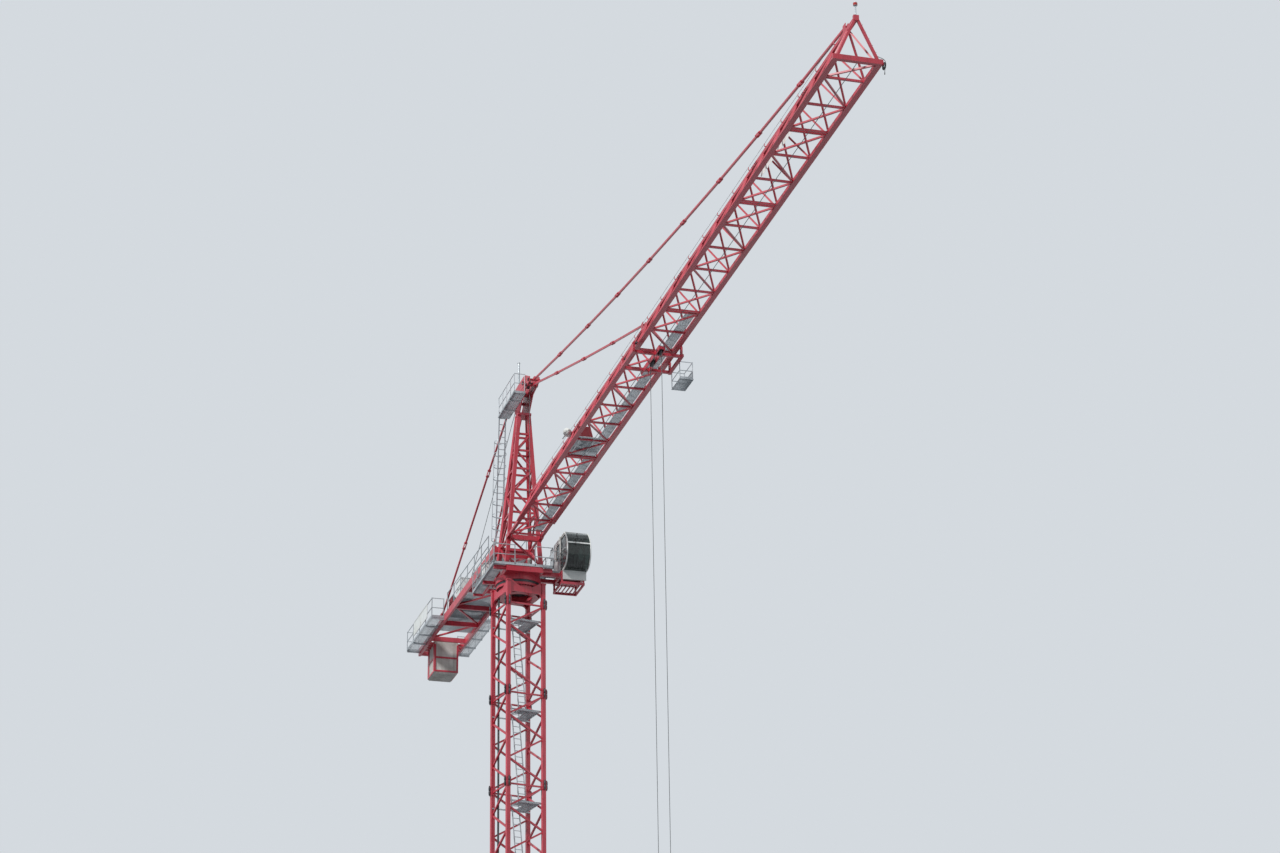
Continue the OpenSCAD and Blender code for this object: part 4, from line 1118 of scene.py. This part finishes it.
# %% [markdown]
# The trolley's frame carries wheel plates, buffers at both ends, and the two sheaves over
# which the hoist's rope runs. Rims and hubs make a disc look like a sheave.

# %% Trolley brackets and sheave rims
parts = []
wheel_z = jib_z + 0.0243
sheave_z = jib_z - 0.165
for x in (bx - 0.425, bx + 0.425):
    for side in (-1, 1):
        a, b = sorted((side * 0.5305, side * 0.542))
        parts.append(block((x - 0.045, a, jib_z - 0.135), (x + 0.045, b, jib_z + 0.045), 0.003))
        parts.append(rod((x, side * 0.530, wheel_z), (x, side * 0.552, wheel_z), 0.016, 20, 0.002))
for x, buffer_end in ((bx - 0.485, -0.025), (bx + 0.455, 0.055)):
    for side in (-1, 1):
        y = side * 0.53
        parts.append(rod((x + 0.005, y, sheave_z), (x + buffer_end, y, sheave_z), 0.022, 20, 0.004))
joined("trolley_brackets", parts, red_paint, "trolley", smooth=35)
guards = []
sheave_middle, sheave_apart = trolley_x + 0.3025, 0.2975
for x in (sheave_middle - sheave_apart, sheave_middle + sheave_apart):
    for side in (-1, 1):
        guards.append(rod((x, side * 0.052, sheave_z), (x, side * 0.074, sheave_z), 0.030, 24, 0.003))
        guards.append(ring((x, side * 0.0175, sheave_z), 0.108, 0.0035, (0, 1, 0), 48))
joined("sheave_rims", guards, dark_steel, "trolley", smooth=45)

# %% [markdown]
# ## The working deck at the head
# A small platform beside the head serves the tie pins and the rope sheaves. Its floor is a
# grating on two bearers, and its rail has a top bar, a knee bar and a kick plate.

# %% Head platform
head_floor = jib_z + 3.5


def tube_rail(path, bays, z, high=0.515, tube=0.010):
    """A handrail of tubes: posts on foot plates, a knee bar and a top bar."""
    parts = []
    for k, ((xa, ya), (xb, yb)) in enumerate(zip(path, path[1:])):
        for i in range(0 if k == 0 else 1, bays[k] + 1):
            t = i / bays[k]
            x, y = xa + (xb - xa) * t, ya + (yb - ya) * t
            parts.append(rod((x, y, z), (x, y, z + high), tube, 12))
            parts.append(block((x - 0.022, y - 0.022, z), (x + 0.022, y + 0.022, z + 0.006)))
        parts += [rod((xa, ya, z + h), (xb, yb, z + h), tube * 0.85, 12) for h in (high * 0.5, high - 0.01)]
    return parts


platform = grating(-0.355, 1.256, -0.426, -0.135, head_floor)
platform += tube_rail([(-0.34, -0.41), (1.24, -0.41), (1.24, -0.15)], [4, 1], head_floor)
platform += kick_plates([(-0.345, -0.42), (1.25, -0.42), (1.25, -0.15)], head_floor)
for x in (0.2, 0.8):
    platform += [block((x, -0.42, head_floor - 0.052), (x + 0.04, -0.1324, head_floor - 0.047)),
                 block((x + 0.017, -0.42, head_floor - 0.048), (x + 0.023, -0.1324, head_floor - 0.0115))]
joined("head_platform", platform, galvanized, "upper_works", replaces=["head_deck"],
       smooth=40)

# %% [markdown]
# Pins hold the tie bars and the sheaves at the head. Each pin has a flange, a nut and a keeper
# plate, the same on both sides, so one loop makes them all.

# %% Head fittings
fittings = []
for x, z, r in ((0.330, 3.88, 0.052), (1.000, 3.88, 0.052), (1.54, 3.75, 0.042), (1.34, 3.69, 0.042)):
    for side in (-1, 1):
        fittings += [rod((x, side * 0.1325, z), (x, side * 0.150, z), r, 28, 0.003),
                     rod((x, side * 0.149, z), (x, side * 0.156, z), r * 0.5, 16)]
        fittings.append(block((x - r * 1.1, min(side * 0.149, side * 0.154), z - 0.008),
                              (x + r * 1.1, max(side * 0.149, side * 0.154), z + 0.008)))
for x in (0.330, 1.000):
    fittings += [ring((x, side * 0.0245, 3.88), 0.127, 0.0045, (0, 1, 0), 48, 6) for side in (-1, 1)]
joined("head_pins", fittings, dark_steel, "upper_works", place=at_jib, smooth=35)

# %% [markdown]
# A wind meter with three cups stands at the very top. Its cups are small balls on thin arms,
# a third of a turn apart.

# %% Wind meter
mast_bits = [rod((0.1, -0.01, 4.80), (0.1, -0.01, 4.815), 0.011, 16),
             rod((0.1, -0.01, 4.815), (0.1, -0.01, 4.824), 0.006, 12)]
for k in range(3):
    a = math.radians(120 * k)
    tip = (0.1 + 0.036 * math.cos(a), -0.01 + 0.036 * math.sin(a), 4.819)
    mast_bits.append(rod((0.1, -0.01, 4.819), tip, 0.0018, 8))
    bpy.ops.object.select_all(action="DESELECT")
    bpy.ops.mesh.primitive_uv_sphere_add(segments=16, ring_count=8, radius=0.009, location=tip)
    mast_bits.append(bpy.context.object)
joined("wind_meter", mast_bits, dark_steel, "upper_works", place=at_jib, smooth=50)


# %% [markdown]
# ## Lamps
# A warning lamp has a metal foot, a lens with moulded rings and a lid. The lens is turned
# on a circle: a profile of two walls is spun round, so that light can pass it.

# %% Warning lamps
lamp_red, tree, shader = plain_material("lamp_lens", srgb(170, 30, 26), 0.12)
coords = object_space(tree)
rings = add_node(tree, "TexWave", {"Vector": coords, "Scale": 62.0}, bands_direction="Z").outputs["Fac"]
dust = noise(tree, coords, 30.0, 5.0)
tree.links.new(blend(tree, dust, srgb(176, 26, 24), srgb(214, 62, 50)), shader.inputs["Base Color"])
tree.links.new(band(tree, dust, 0.3, 0.8, 0.08, 0.3), shader.inputs["Roughness"])
raised(tree, shader, rings, 0.4, 0.001)
shader.inputs["Coat Weight"].default_value = 0.5


def turned_shape(profile, center, steps=32):
    """A closed profile of radii and heights, spun round the upright axis."""
    piece = outlined([(r, 0, h) for r, h in profile])
    bpy.ops.object.mode_set(mode="EDIT")
    bpy.ops.mesh.select_all(action="SELECT")
    bpy.ops.mesh.spin(steps=steps, angle=2 * math.pi, center=(0, 0, 0), axis=(0, 0, 1))
    bpy.ops.mesh.select_all(action="SELECT")
    bpy.ops.mesh.remove_doubles(threshold=0.00005)
    leave_edit_mode()
    piece.location = center
    return apply_place(piece)


lens = [(0.037, 0.004), (0.040, 0.008), (0.037, 0.012), (0.040, 0.017), (0.037, 0.022), (0.040, 0.027),
        (0.037, 0.032), (0.040, 0.037), (0.037, 0.042), (0.040, 0.047), (0.037, 0.054), (0.0355, 0.054),
        (0.0355, 0.004)]
joined("tip_lens", [turned_shape(lens, (24.53, 0, jib_z + 1.09))], lamp_red, "upper_works",
       smooth=30)
head_lamp = [rod((0.62, 0, 4.03), (0.62, 0, 4.055), 0.034, 24, 0.003),
             rod((0.62, 0, 4.105), (0.62, 0, 4.112), 0.030, 24, 0.002)]
joined("head_lamp_base", head_lamp, dark_steel, "upper_works", place=at_jib, smooth=35)
small = [(0.9 * r - 0.006, h) for r, h in lens]
joined("head_lens", [turned_shape(small, (0.62, 0, 4.053))], lamp_red, "upper_works",
       place=at_jib, smooth=30)

# %% [markdown]
# ## Floodlight
# A pale oval floodlight is clamped on the near side of the top chord, past the head.

# %% Floodlight
flood_at = at_jib @ at(5.1, -0.15, 0.83) @ turned(-35, "X")
body = turned_shape([(0.001, 0.0), (0.075, 0.0), (0.105, 0.025), (0.118, 0.070), (0.118, 0.085),
                     (0.110, 0.085), (0.104, 0.060), (0.001, 0.050)],
                    (0, 0, 0), 40)
body.scale = (1.35, 0.9, 1)
apply_place(body)
yoke = [block((-0.175, -0.012, 0.03), (-0.163, 0.012, 0.05)),
        block((0.163, -0.012, 0.03), (0.175, 0.012, 0.05)),
        block((-0.175, -0.012, -0.055), (-0.169, 0.012, 0.05)),
        block((0.169, -0.012, -0.055), (0.175, 0.012, 0.05)),
        block((-0.175, -0.012, -0.061), (0.175, 0.012, -0.055))]
joined("floodlight", [body] + yoke, white_paint, "upper_works", place=flood_at, smooth=35)
glass = turned_shape([(0.001, 0.074), (0.108, 0.074), (0.108, 0.078), (0.001, 0.080)], (0, 0, 0), 40)
glass.scale = (1.35, 0.9, 1)
apply_place(glass)
joined("floodlight_glass", [glass], cab_glass, "upper_works", place=flood_at, smooth=35)
clamp = [block((5.07, -0.135, 0.80), (5.13, -0.035, 0.812), 0.002),
         block((5.07, -0.043, 0.79), (5.13, -0.035, 0.87), 0.002)]
joined("floodlight_clamp", clamp, galvanized, "upper_works", place=at_jib)

# %% [markdown]
# ## The cab from outside
# The driver's cab is a white steel shell with a bowed glass front. The real one gets its
# look from what is screwed to it: bent tubes along the front edges, rubber seals round the
# panes, a wiper, grab rails and a lamp under the roof. The tubes follow the shell's own
# outline, so the outline is written once, and bars are laid along it.

# %% Cab tubes and seals
cab_at = at(-0.15, 0.93, jib_z - 0.78)
cab_w = 0.60
front_bow = [(0.83, 0.0), (0.94, 0.008), (1.03, 0.028), (1.11, 0.066), (1.175, 0.122), (1.22, 0.195),
             (1.248, 0.285), (1.26, 0.39), (1.256, 0.50), (1.228, 0.615), (1.17, 0.725), (1.08, 0.83),
             (0.97, 0.92)]


def tube(points, radius, sides=10):
    """A bent tube through the points, made as a curve and turned into a mesh."""
    path = outlined(points)
    bpy.ops.object.mode_set(mode="EDIT")
    bpy.ops.mesh.select_all(action="DESELECT")
    bpy.ops.object.mode_set(mode="OBJECT")
    closing = [e for e in path.data.edges if set(e.vertices) == {0, len(points) - 1}]
    if len(points) > 2:
        closing[0].select = True
        bpy.ops.object.mode_set(mode="EDIT")
        bpy.ops.mesh.select_mode(type="EDGE")
        bpy.ops.mesh.delete(type="EDGE_FACE")
        bpy.ops.object.mode_set(mode="OBJECT")
    bpy.ops.object.convert(target="CURVE")
    curve = bpy.context.object
    curve.data.dimensions = "3D"
    curve.data.bevel_depth = radius
    curve.data.bevel_resolution = max(0, sides // 4 - 1)
    curve.data.use_fill_caps = True
    bpy.ops.object.convert(target="MESH")
    piece = bpy.context.object
    bpy.ops.object.mode_set(mode="EDIT")
    bpy.ops.mesh.select_all(action="SELECT")
    bpy.ops.mesh.remove_doubles(threshold=0.00001)
    leave_edit_mode()
    return piece


def along_bow(y, out, first=0, last=13):
    """Points on the front's bow at one side, moved outwards by a distance."""
    placed = []
    for k in range(first, last):
        x, z = front_bow[k]
        xa, za = front_bow[max(k - 1, 0)]
        xb, zb = front_bow[min(k + 1, 12)]
        normal = Vector((zb - za, 0, xa - xb)).normalized()
        placed.append(Vector((x, y, z)) + normal * out)
    return placed


tubes = [tube(along_bow(y, 0.006), 0.014) for y in (0.012, cab_w - 0.012)]
tubes += [tube([(0.97, 0.012, 0.925), (0.97, cab_w - 0.012, 0.925)], 0.013)]
rail = [(0.62, 0.47), (0.64, 0.49), (0.90, 0.49), (1.10, 0.47), (1.18, 0.44)]
tubes += [tube([(x, -0.018, z) for x, z in rail], 0.008),
          tube([(x, cab_w + 0.018, z) for x, z in rail], 0.008)]
for y0, y1 in ((-0.018, 0.002), (cab_w - 0.002, cab_w + 0.018)):
    tubes += [rod((x, y0, z), (x, y1, z), 0.006, 10) for x, z in ((0.66, 0.49), (0.90, 0.49))]
joined("cab_tubes", tubes, white_paint, "upper_works", place=cab_at, smooth=40)

# %% [markdown]
# A pane sits in a rubber seal. The seal is the pane's own outline, inset by its width and
# given a thickness, so it follows round corners too. The wiper is two bent tubes.

# %% Window seals and wiper
def frame_of(outline, y, width, thick):
    """A flat frame that follows an outline in X and Z, inset by its width."""
    piece = outlined([(x, y, z) for x, z in outline], "NGON")
    bpy.ops.object.mode_set(mode="EDIT")
    bpy.ops.mesh.select_mode(type="FACE")
    bpy.ops.mesh.select_all(action="SELECT")
    bpy.ops.mesh.inset(thickness=width, depth=0)
    bpy.ops.mesh.delete(type="FACE")
    bpy.ops.mesh.select_all(action="SELECT")
    bpy.ops.mesh.extrude_region_move(TRANSFORM_OT_translate={"value": (0, thick, 0)})
    leave_edit_mode()
    return piece


side_pane = [(0.661, 0.032), (0.83, 0.032), (0.93, 0.037), (1.015, 0.056), (1.09, 0.092), (1.148, 0.142),
             (1.192, 0.212), (1.218, 0.296), (1.229, 0.39), (1.225, 0.495), (1.199, 0.602),
             (1.144, 0.706), (1.064, 0.80), (1.016, 0.846), (0.661, 0.846)]
back_pane = [(0.094, 0.434), (0.596, 0.434), (0.596, 0.846), (0.094, 0.846)]
door_pane = [(0.249, 0.424), (0.551, 0.424), (0.551, 0.786), (0.249, 0.786)]
seals = [frame_of(side_pane, -0.003, 0.016, 0.006), frame_of(side_pane, cab_w - 0.003, 0.016, 0.006),
         frame_of(back_pane, cab_w - 0.003, 0.016, 0.006), frame_of(door_pane, -0.001, 0.014, 0.006)]
wiper = [rod((1.05, 0.30, 0.868), (1.075, 0.30, 0.872), 0.012, 16),
         tube([(1.075, 0.30, 0.872), (1.16, 0.29, 0.77), (1.235, 0.22, 0.63)], 0.004, 8),
         tube([(1.192, 0.20, 0.716), (1.238, 0.215, 0.622), (1.268, 0.225, 0.50)], 0.0045, 8)]
joined("cab_seals", seals + wiper, rubber, "upper_works", place=cab_at, smooth=40)

# %% [markdown]
# A cooler with a louvred side stands on the roof, and a lamp looks out under each roof edge.

# %% Roof cooler and side lamps
outside = [rod((0.70, -0.001, 0.885), (0.70, -0.035, 0.885), 0.022, 20, 0.003),
           rod((0.70, cab_w + 0.001, 0.885), (0.70, cab_w + 0.035, 0.885), 0.022, 20, 0.003)]
outside += [block((0.10, 0.08, 0.9205), (0.55, 0.52, 0.985), 0.018, 3),
            block((0.14, 0.072, 0.935), (0.50, 0.081, 0.975), 0.002)]
for k in range(8):
    outside.append(block((0.15 + 0.042 * k, 0.066, 0.938), (0.175 + 0.042 * k, 0.074, 0.972), 0.001))
joined("roof_cooler", outside, white_paint, "upper_works", place=cab_at, smooth=35)

# %% [markdown]
# ## The cab from inside
# Through the glass one sees a seat between two consoles with short levers, and a floor mat.
# The padding is a soft block that is swollen a little and then given its seams.

# %% Consoles, levers and mat
seat_at = cab_at @ at(0.52, 0.30, 0.0202)
inside = []
for side in (-1, 1):
    inside += [block((-0.06, side * 0.175 - 0.040, 0.0), (0.20, side * 0.175 + 0.040, 0.245), 0.012, 3),
               block((-0.065, side * 0.175 - 0.045, 0.240), (0.205, side * 0.175 + 0.045, 0.270), 0.010, 3)]
    inside += [rod((0.15, side * 0.175, 0.265), (0.155, side * 0.175, 0.285), 0.022, 20, 0.004),
               rod((0.155, side * 0.175, 0.28), (0.165, side * 0.175, 0.345), 0.0055, 12)]
    inside.append(turned_shape([(0.0005, 0.0), (0.010, 0.003), (0.016, 0.018), (0.014, 0.036),
                                (0.0005, 0.042)], (0.165, side * 0.175, 0.335), 20))
    inside += [rod((x, side * 0.175 + y, 0.268), (x, side * 0.175 + y, 0.277), 0.006, 14)
               for x in (0.0, 0.035, 0.07) for y in (-0.022, 0.022)]
inside += [rod((0, 0, 0.0), (0, 0, 0.012), 0.085, 28, 0.003), rod((0, 0, 0.01), (0, 0, 0.11), 0.032, 24),
           rod((0, 0, 0.10), (0, 0, 0.165), 0.048, 24)]
inside += [block((-0.12, -0.11, 0.150), (0.12, 0.11, 0.166), 0.004, 2)]
inside += [block((-0.16, -0.10, 0.20), (-0.145, 0.10, 0.58), 0.004, 2)]
inside.append(in_rows(block((0.17, -0.20, 0.0), (0.178, 0.20, 0.004)), (12, (0.02, 0, 0))))
inside += [block((0.30, -0.13, 0.0), (0.42, -0.03, 0.018), 0.004, 2),
           block((0.30, 0.03, 0.0), (0.42, 0.13, 0.018), 0.004, 2)]
joined("cab_controls", inside, dark_steel, "upper_works", place=seat_at, smooth=35)

# %% [markdown]
# The driver's seat is two pads. Each is a block with many small faces that swells in its
# middle, is drawn in along two seams, and is then smoothed by subdivision.

# %% Driver's seat
def cushion(low, high, seam_at, swell=0.012):
    """A pad that crowns in its middle and is drawn in along its seams."""
    pad = block([a + swell * 0.6 for a in low], [b - swell * 0.6 for b in high])
    alone(pad)
    bpy.ops.object.mode_set(mode="EDIT")
    bpy.ops.mesh.select_all(action="SELECT")
    bpy.ops.mesh.subdivide(number_cuts=9)
    bpy.ops.object.mode_set(mode="OBJECT")
    middle = (Vector(low) + Vector(high)) / 2
    size = (Vector(high) - Vector(low)) / 2
    thin = min(range(3), key=lambda i: size[i])
    flat = [i for i in range(3) if i != thin]
    for corner in pad.data.vertices:
        part = [(corner.co[i] - middle[i]) / size[i] for i in range(3)]
        crown = (1 - part[flat[0]] ** 2) * (1 - part[flat[1]] ** 2)
        corner.co[thin] += math.copysign(1, part[thin]) * swell * crown * (1 if abs(part[thin]) > 0.5 else 0)
        groove = sum(math.exp(-((corner.co[1] - middle[1] - s) / 0.006) ** 2) for s in seam_at)
        corner.co[thin] -= math.copysign(1, part[thin]) * 0.007 * groove * (abs(part[thin]) > 0.5)
    apply_modifier(pad, "SUBSURF", levels=2, render_levels=2)
    return pad


seat = [cushion((-0.13, -0.12, 0.159), (0.13, 0.12, 0.215), (-0.06, 0.06)),
        cushion((-0.15, -0.115, 0.214), (-0.10, 0.115, 0.56), (-0.055, 0.055))]
soft_seat = joined("driver_seat", seat, seat_cover, "upper_works", place=seat_at,
                   replaces=["cab_seat"], smooth=60)

# %% [markdown]
# ## The sheet on the jib
# A pale sheet hangs inside the jib, tied to the top chord. A flat grid is cut to size,
# laid in uneven pleats, and then Blender's cloth solver lets it fall and wrinkle under
# gravity, with its top edge pinned at the ties.

# %% Cloth sheet
hem_x = 19.08
last_frame = 24
bpy.ops.object.select_all(action="DESELECT")
bpy.ops.mesh.primitive_grid_add(x_subdivisions=92, y_subdivisions=16, size=1)
cloth = bpy.context.object
ties = (0.02, 0.57, 0.87, 1.57, 1.82)
span = 1.82
for corner in cloth.data.vertices:
    along, down = corner.co.x + 0.5, 0.5 - corner.co.y
    pleat = 0.5 * math.sin(along * 58 + 1.3 * math.sin(along * 9)) + 0.3 * math.sin(along * 23 + 2 * down)
    sagged = 0.010 * math.sin(along * math.pi * 5) ** 2 * (1 - down)
    corner.co = (hem_x + along * span, 0.011 * pleat * (0.35 + 0.65 * down),
                 jib_z + 0.738 - 0.013 * down - 0.292 * down - sagged)
held = cloth.vertex_groups.new(name="held")
held.add([v.index for v in cloth.data.vertices if v.co.z > jib_z + 0.7375 - 0.0105], 1.0, "REPLACE")
solver = cloth.modifiers.new("cloth", "CLOTH")
solver.settings.quality = 6
solver.settings.mass = 0.15
solver.settings.bending_stiffness = 0.4
solver.settings.tension_stiffness = 30
solver.settings.vertex_group_mass = "held"
solver.point_cache.frame_start = 1
solver.point_cache.frame_end = last_frame
for step in range(1, last_frame + 1):
    bpy.context.scene.frame_set(step)
alone(cloth)
bpy.ops.object.modifier_apply(modifier="cloth")
bpy.context.scene.frame_set(1)
apply_modifier(cloth, "SOLIDIFY", thickness=0.0016, offset=0)
straps = [block((hem_x + x - 0.010, -0.0015, jib_z + 0.715), (hem_x + x + 0.010, 0.0015, jib_z + 0.797),
                0.001) for x in ties]
strap_piece = joined("sheet_straps", straps, dark_steel, "upper_works")
sheet_piece = joined("cloth_sheet", [cloth], sheet_cloth, "upper_works",
                     replaces=["jib_sheet"], smooth=70)

# %% [markdown]
# ## The lamp's cable
# The lamp at the jib's end is fed by a rubber cable. It runs down the end brace under small
# clips, and its spare length is wound into a coil that hangs on a peg at the beam's end.
# A stiff cable turns in wide bows, so its free parts are drawn as curves with four handles,
# and the tightest bend is about four times its thickness.

# %% Run of the cable
wire = 0.010
tip_x = 24.53
coil_radius = 0.060
coil_at = Vector((tip_x, 0.4902, jib_z - 0.06))
foot = Vector((tip_x, 0.0, jib_z + 0.87))
beam_end = Vector((tip_x, 0.39, jib_z))
down_brace = (beam_end - foot).normalized()
brace_out = Vector((0, 0.913, 0.409))
off_brace = brace_out * (0.0225 + wire / 2 + 0.0012)


def bow(start, start_way, end, end_way, steps):
    """Points of a smooth curve that leaves start along start_way and arrives along end_way."""
    handles = (start, start + start_way, end - end_way, end)
    points = []
    for step in range(1, steps + 1):
        t = step / steps
        shares = ((1 - t) ** 3, 3 * t * (1 - t) ** 2, 3 * t * t * (1 - t), t ** 3)
        points.append(sum((handle * share for handle, share in zip(handles, shares)), Vector()))
    return points


route = [Vector((tip_x, 0.031, jib_z + 0.8925)), Vector((tip_x, 0.044, jib_z + 0.880))]
for t in (0.08, 0.2, 0.35, 0.5, 0.65, 0.8, 0.86):
    route.append(foot + (beam_end - foot) * t + off_brace)
print("points down the brace:", len(route))

# %% [markdown]
# ## The cable's coil
# Just over six turns fill seven spots, like the wires of a strand. Each turn stays in its spot of
# the bundle and then moves over to the next one, and the later turns move first, so that the
# spot is free when the next turn comes. A loop works this out far better than a hand could.

# %% Coil of the cable
bundle = [(1.0, 0.0), (0.5, -0.87), (-0.5, -0.87), (-1.0, 0.0), (0.0, 0.0), (-0.5, 0.87), (0.5, 0.87)]
spots = [(out * wire * 1.16, across * wire * 1.16) for out, across in bundle]
per_turn = 24
first_change = 17
change_lead = 2.7
change_steps = 6.5
last_steps = 5


def in_coil(out, across, angle):
    """A point of the coil: out from its ring, across its plane, at an angle round it."""
    reach = coil_radius + out
    return coil_at + Vector((reach * math.cos(angle), across, reach * math.sin(angle)))


coil_start = in_coil(*spots[0], 0) + Vector((0, 0, 0.03))
route += bow(route[-1], down_brace * 0.06, coil_start, Vector((0, 0, -0.10)), 14)
for step in range((len(spots) - 1) * per_turn + last_steps + 1):
    turn, part = divmod(step, per_turn)
    here = spots[turn]
    after = spots[min(turn + 1, len(spots) - 1)]
    mix = min(1.0, max(0.0, (part - first_change + change_lead * turn) / change_steps))
    mix = mix * mix * (3 - 2 * mix)
    out = here[0] + (after[0] - here[0]) * mix
    across = here[1] + (after[1] - here[1]) * mix
    route.append(in_coil(out, across, -2 * math.pi * part / per_turn))
leave = (route[-1] - route[-2]).normalized() * 0.03
tail_end = route[-1] + Vector((-0.052, 0.009, -0.052))
route += bow(route[-1], leave, tail_end, Vector((-0.008, 0, -0.028)), 6)
print("cable route points:", len(route))

# %% [markdown]
# The route becomes a curve with a round section. Thin clips hold it on the brace, a bent peg
# holds the coil, and a plug closes its far end.

# %% Cable, clips and plug
bpy.ops.object.select_all(action="DESELECT")
bpy.ops.curve.primitive_nurbs_path_add()
cable = bpy.context.object
cable.data.splines.clear()
line = cable.data.splines.new("POLY")
line.points.add(len(route) - 1)
for node_point, place in zip(line.points, route):
    node_point.co = (*place, 1)
cable.data.dimensions = "3D"
cable.data.bevel_depth = wire / 2
cable.data.bevel_resolution = 2
cable.data.use_fill_caps = True
cable.name = "lamp_cable"
cable.data.materials.append(rubber)
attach(cable, "upper_works")
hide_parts("tip_cable")
last = route[-1]
last_way = (route[-1] - route[-2]).normalized()
peg_z = jib_z - 0.0215
peg = [rod((tip_x, 0.469, peg_z), (tip_x, 0.5175, peg_z), 0.0045, 12)]
peg.append(rod((tip_x, 0.513, peg_z), (tip_x, 0.513, jib_z + 0.012), 0.0045, 12))
for t in (0.2, 0.35, 0.5, 0.65, 0.8):
    middle = foot + (beam_end - foot) * t + off_brace
    clip = block((-0.026, -0.004, -0.0008), (0.026, 0.004, 0.0008))
    clip.matrix_world = Matrix.Translation(middle + brace_out * 0.0062) @ turned(-65.9, "X")
    peg.append(apply_place(clip))
plug = [rod(last - last_way * 0.004, last + last_way * 0.032, 0.0085, 16, 0.002)]
joined("cable_clips", peg, galvanized, "upper_works", smooth=40)
end_plug = joined("cable_plug", plug, rubber, "upper_works", smooth=40)

# %% [markdown]
# ## Hook, block and base
# The hook hangs from a swivel between two cheek plates. A sprung latch closes its throat, and
# pin heads with keeper plates show on the cheeks. At the foot, gussets and bolts tie the
# mast's posts to the crossed beams.

# %% Hook fittings
hook_x, axle_z = sheave_middle, 1.0
throat_z = axle_z - 0.4902
bits = []
for x in (-sheave_apart, sheave_apart):
    for side in (-1, 1):
        near, far = side * 0.0612, side * 0.078
        bits += [rod((hook_x + x, near, axle_z), (hook_x + x, far, axle_z), 0.034, 28, 0.003),
                 rod((hook_x + x, far, axle_z), (hook_x + x, far + side * 0.006, axle_z), 0.016, 6)]
        a, b = sorted((side * 0.0625, side * 0.069))
        bits.append(block((hook_x + x - 0.055, a, axle_z - 0.052), (hook_x + x + 0.055, b, axle_z - 0.034),
                          0.001))
    bits += [ring((hook_x + x, side * 0.0185, axle_z), 0.1075, 0.0035, (0, 1, 0), 48, 6) for side in (-1, 1)]
for x in (-0.10, 0.10):
    for side in (-1, 1):
        for z in (-0.21, 0.03):
            a, b = side * 0.0612, side * 0.071
            bits.append(rod((hook_x + x, a, axle_z + z), (hook_x + x, b, axle_z + z), 0.011, 6))
bits += [rod((hook_x, 0, axle_z - 0.275), (hook_x, 0, axle_z - 0.262), 0.066, 32, 0.003),
         rod((hook_x, 0, axle_z - 0.19), (hook_x, 0, axle_z - 0.165), 0.036, 6)]
joined("hook_fittings", bits, dark_steel, "hook", smooth=35)

latch = extruded([(-0.020, 0.080), (-0.026, 0.088), (-0.088, 0.040), (-0.090, 0.026), (-0.078, 0.034)],
                 -0.014, 0.014, 0.001)
pin = rod((-0.026, -0.027, 0.080), (-0.026, 0.027, 0.080), 0.005, 14)
joined("hook_latch", [latch, pin], galvanized, "hook", place=at(hook_x, 0, throat_z), smooth=35)

# %% [markdown]
# Gusset plates stiffen the mast's posts on the base frame, and ribs stiffen the feet. Each
# is an outline with a thickness, turned to its corner.

# %% Base fittings
gussets = []
base_bolts = []
for corner in range(4):
    turn = mast_turn @ turned(90 * corner + 45)
    reach = mast_post * math.sqrt(2)
    for side in (-1, 1):
        plate = extruded([(0.058, 0.2), (0.150, 0.2), (0.150, 0.212), (0.064, 0.34), (0.058, 0.34)],
                         side * 0.045 - 0.004, side * 0.045 + 0.004, 0.0015)
        plate.matrix_world = turn @ at(reach, 0, 0)
        gussets.append(apply_place(plate))
    for x, y in ((-0.088, -0.088), (-0.088, 0.088), (0.088, -0.088), (0.088, 0.088)):
        base_bolts.append(turn @ at(reach + x, y, mast_foot))
for k in range(4):
    arm = mast_turn @ turned(45 + 90 * k)
    for side in (-1, 1):
        rib = extruded([(1.18, 0.04), (1.272, 0.04), (1.272, 0.046), (1.20, 0.19), (1.18, 0.19)],
                       side * 0.101 - 0.004, side * 0.101 + 0.004)
        rib.matrix_world = arm
        gussets.append(apply_place(rib))
joined("base_gussets", gussets, red_paint, "mast")
joined("base_bolts", copied(hex_bolt(0.015), base_bolts), dark_steel, "mast", smooth=40)

# %% [markdown]
# The post at the head is a galvanised tube on a small flange.

# %% Antenna sleeve
joined("antenna_tube", [rod((0.1, -0.01, 4.032), (0.1, -0.01, 4.802), 0.0225, 24, 0.002),
                        rod((0.1, -0.01, 4.03), (0.1, -0.01, 4.05), 0.034, 24, 0.003)],
       galvanized, "upper_works", place=at_jib, smooth=40)

# %% [markdown]
# ## The hoist's ropes
# Two falls of wire rope carry the hook block, and they grow shorter when the hook is lifted.
# Each fall is a straight rod over its full length at rest.

# %% Rope falls
rope_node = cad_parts["hoist_ropes"]
rope_corners = [rope_node.matrix_world @ Vector(corner) for corner in rope_node.bound_box]
rope_low = Vector([min(corner[axis] for corner in rope_corners) for axis in range(3)])
rope_high = Vector([max(corner[axis] for corner in rope_corners) for axis in range(3)])
rope_radius = (rope_high.y - rope_low.y) / 2
falls = []
for rope_x in (rope_low.x + rope_radius, rope_high.x - rope_radius):
    falls.append(rod((rope_x, 0, rope_low.z), (rope_x, 0, rope_high.z), rope_radius, 16))
rope_falls = joined("rope_falls", falls, wire_rope, "trolley", replaces=["hoist_ropes"],
                    smooth=40)
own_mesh(rope_falls)
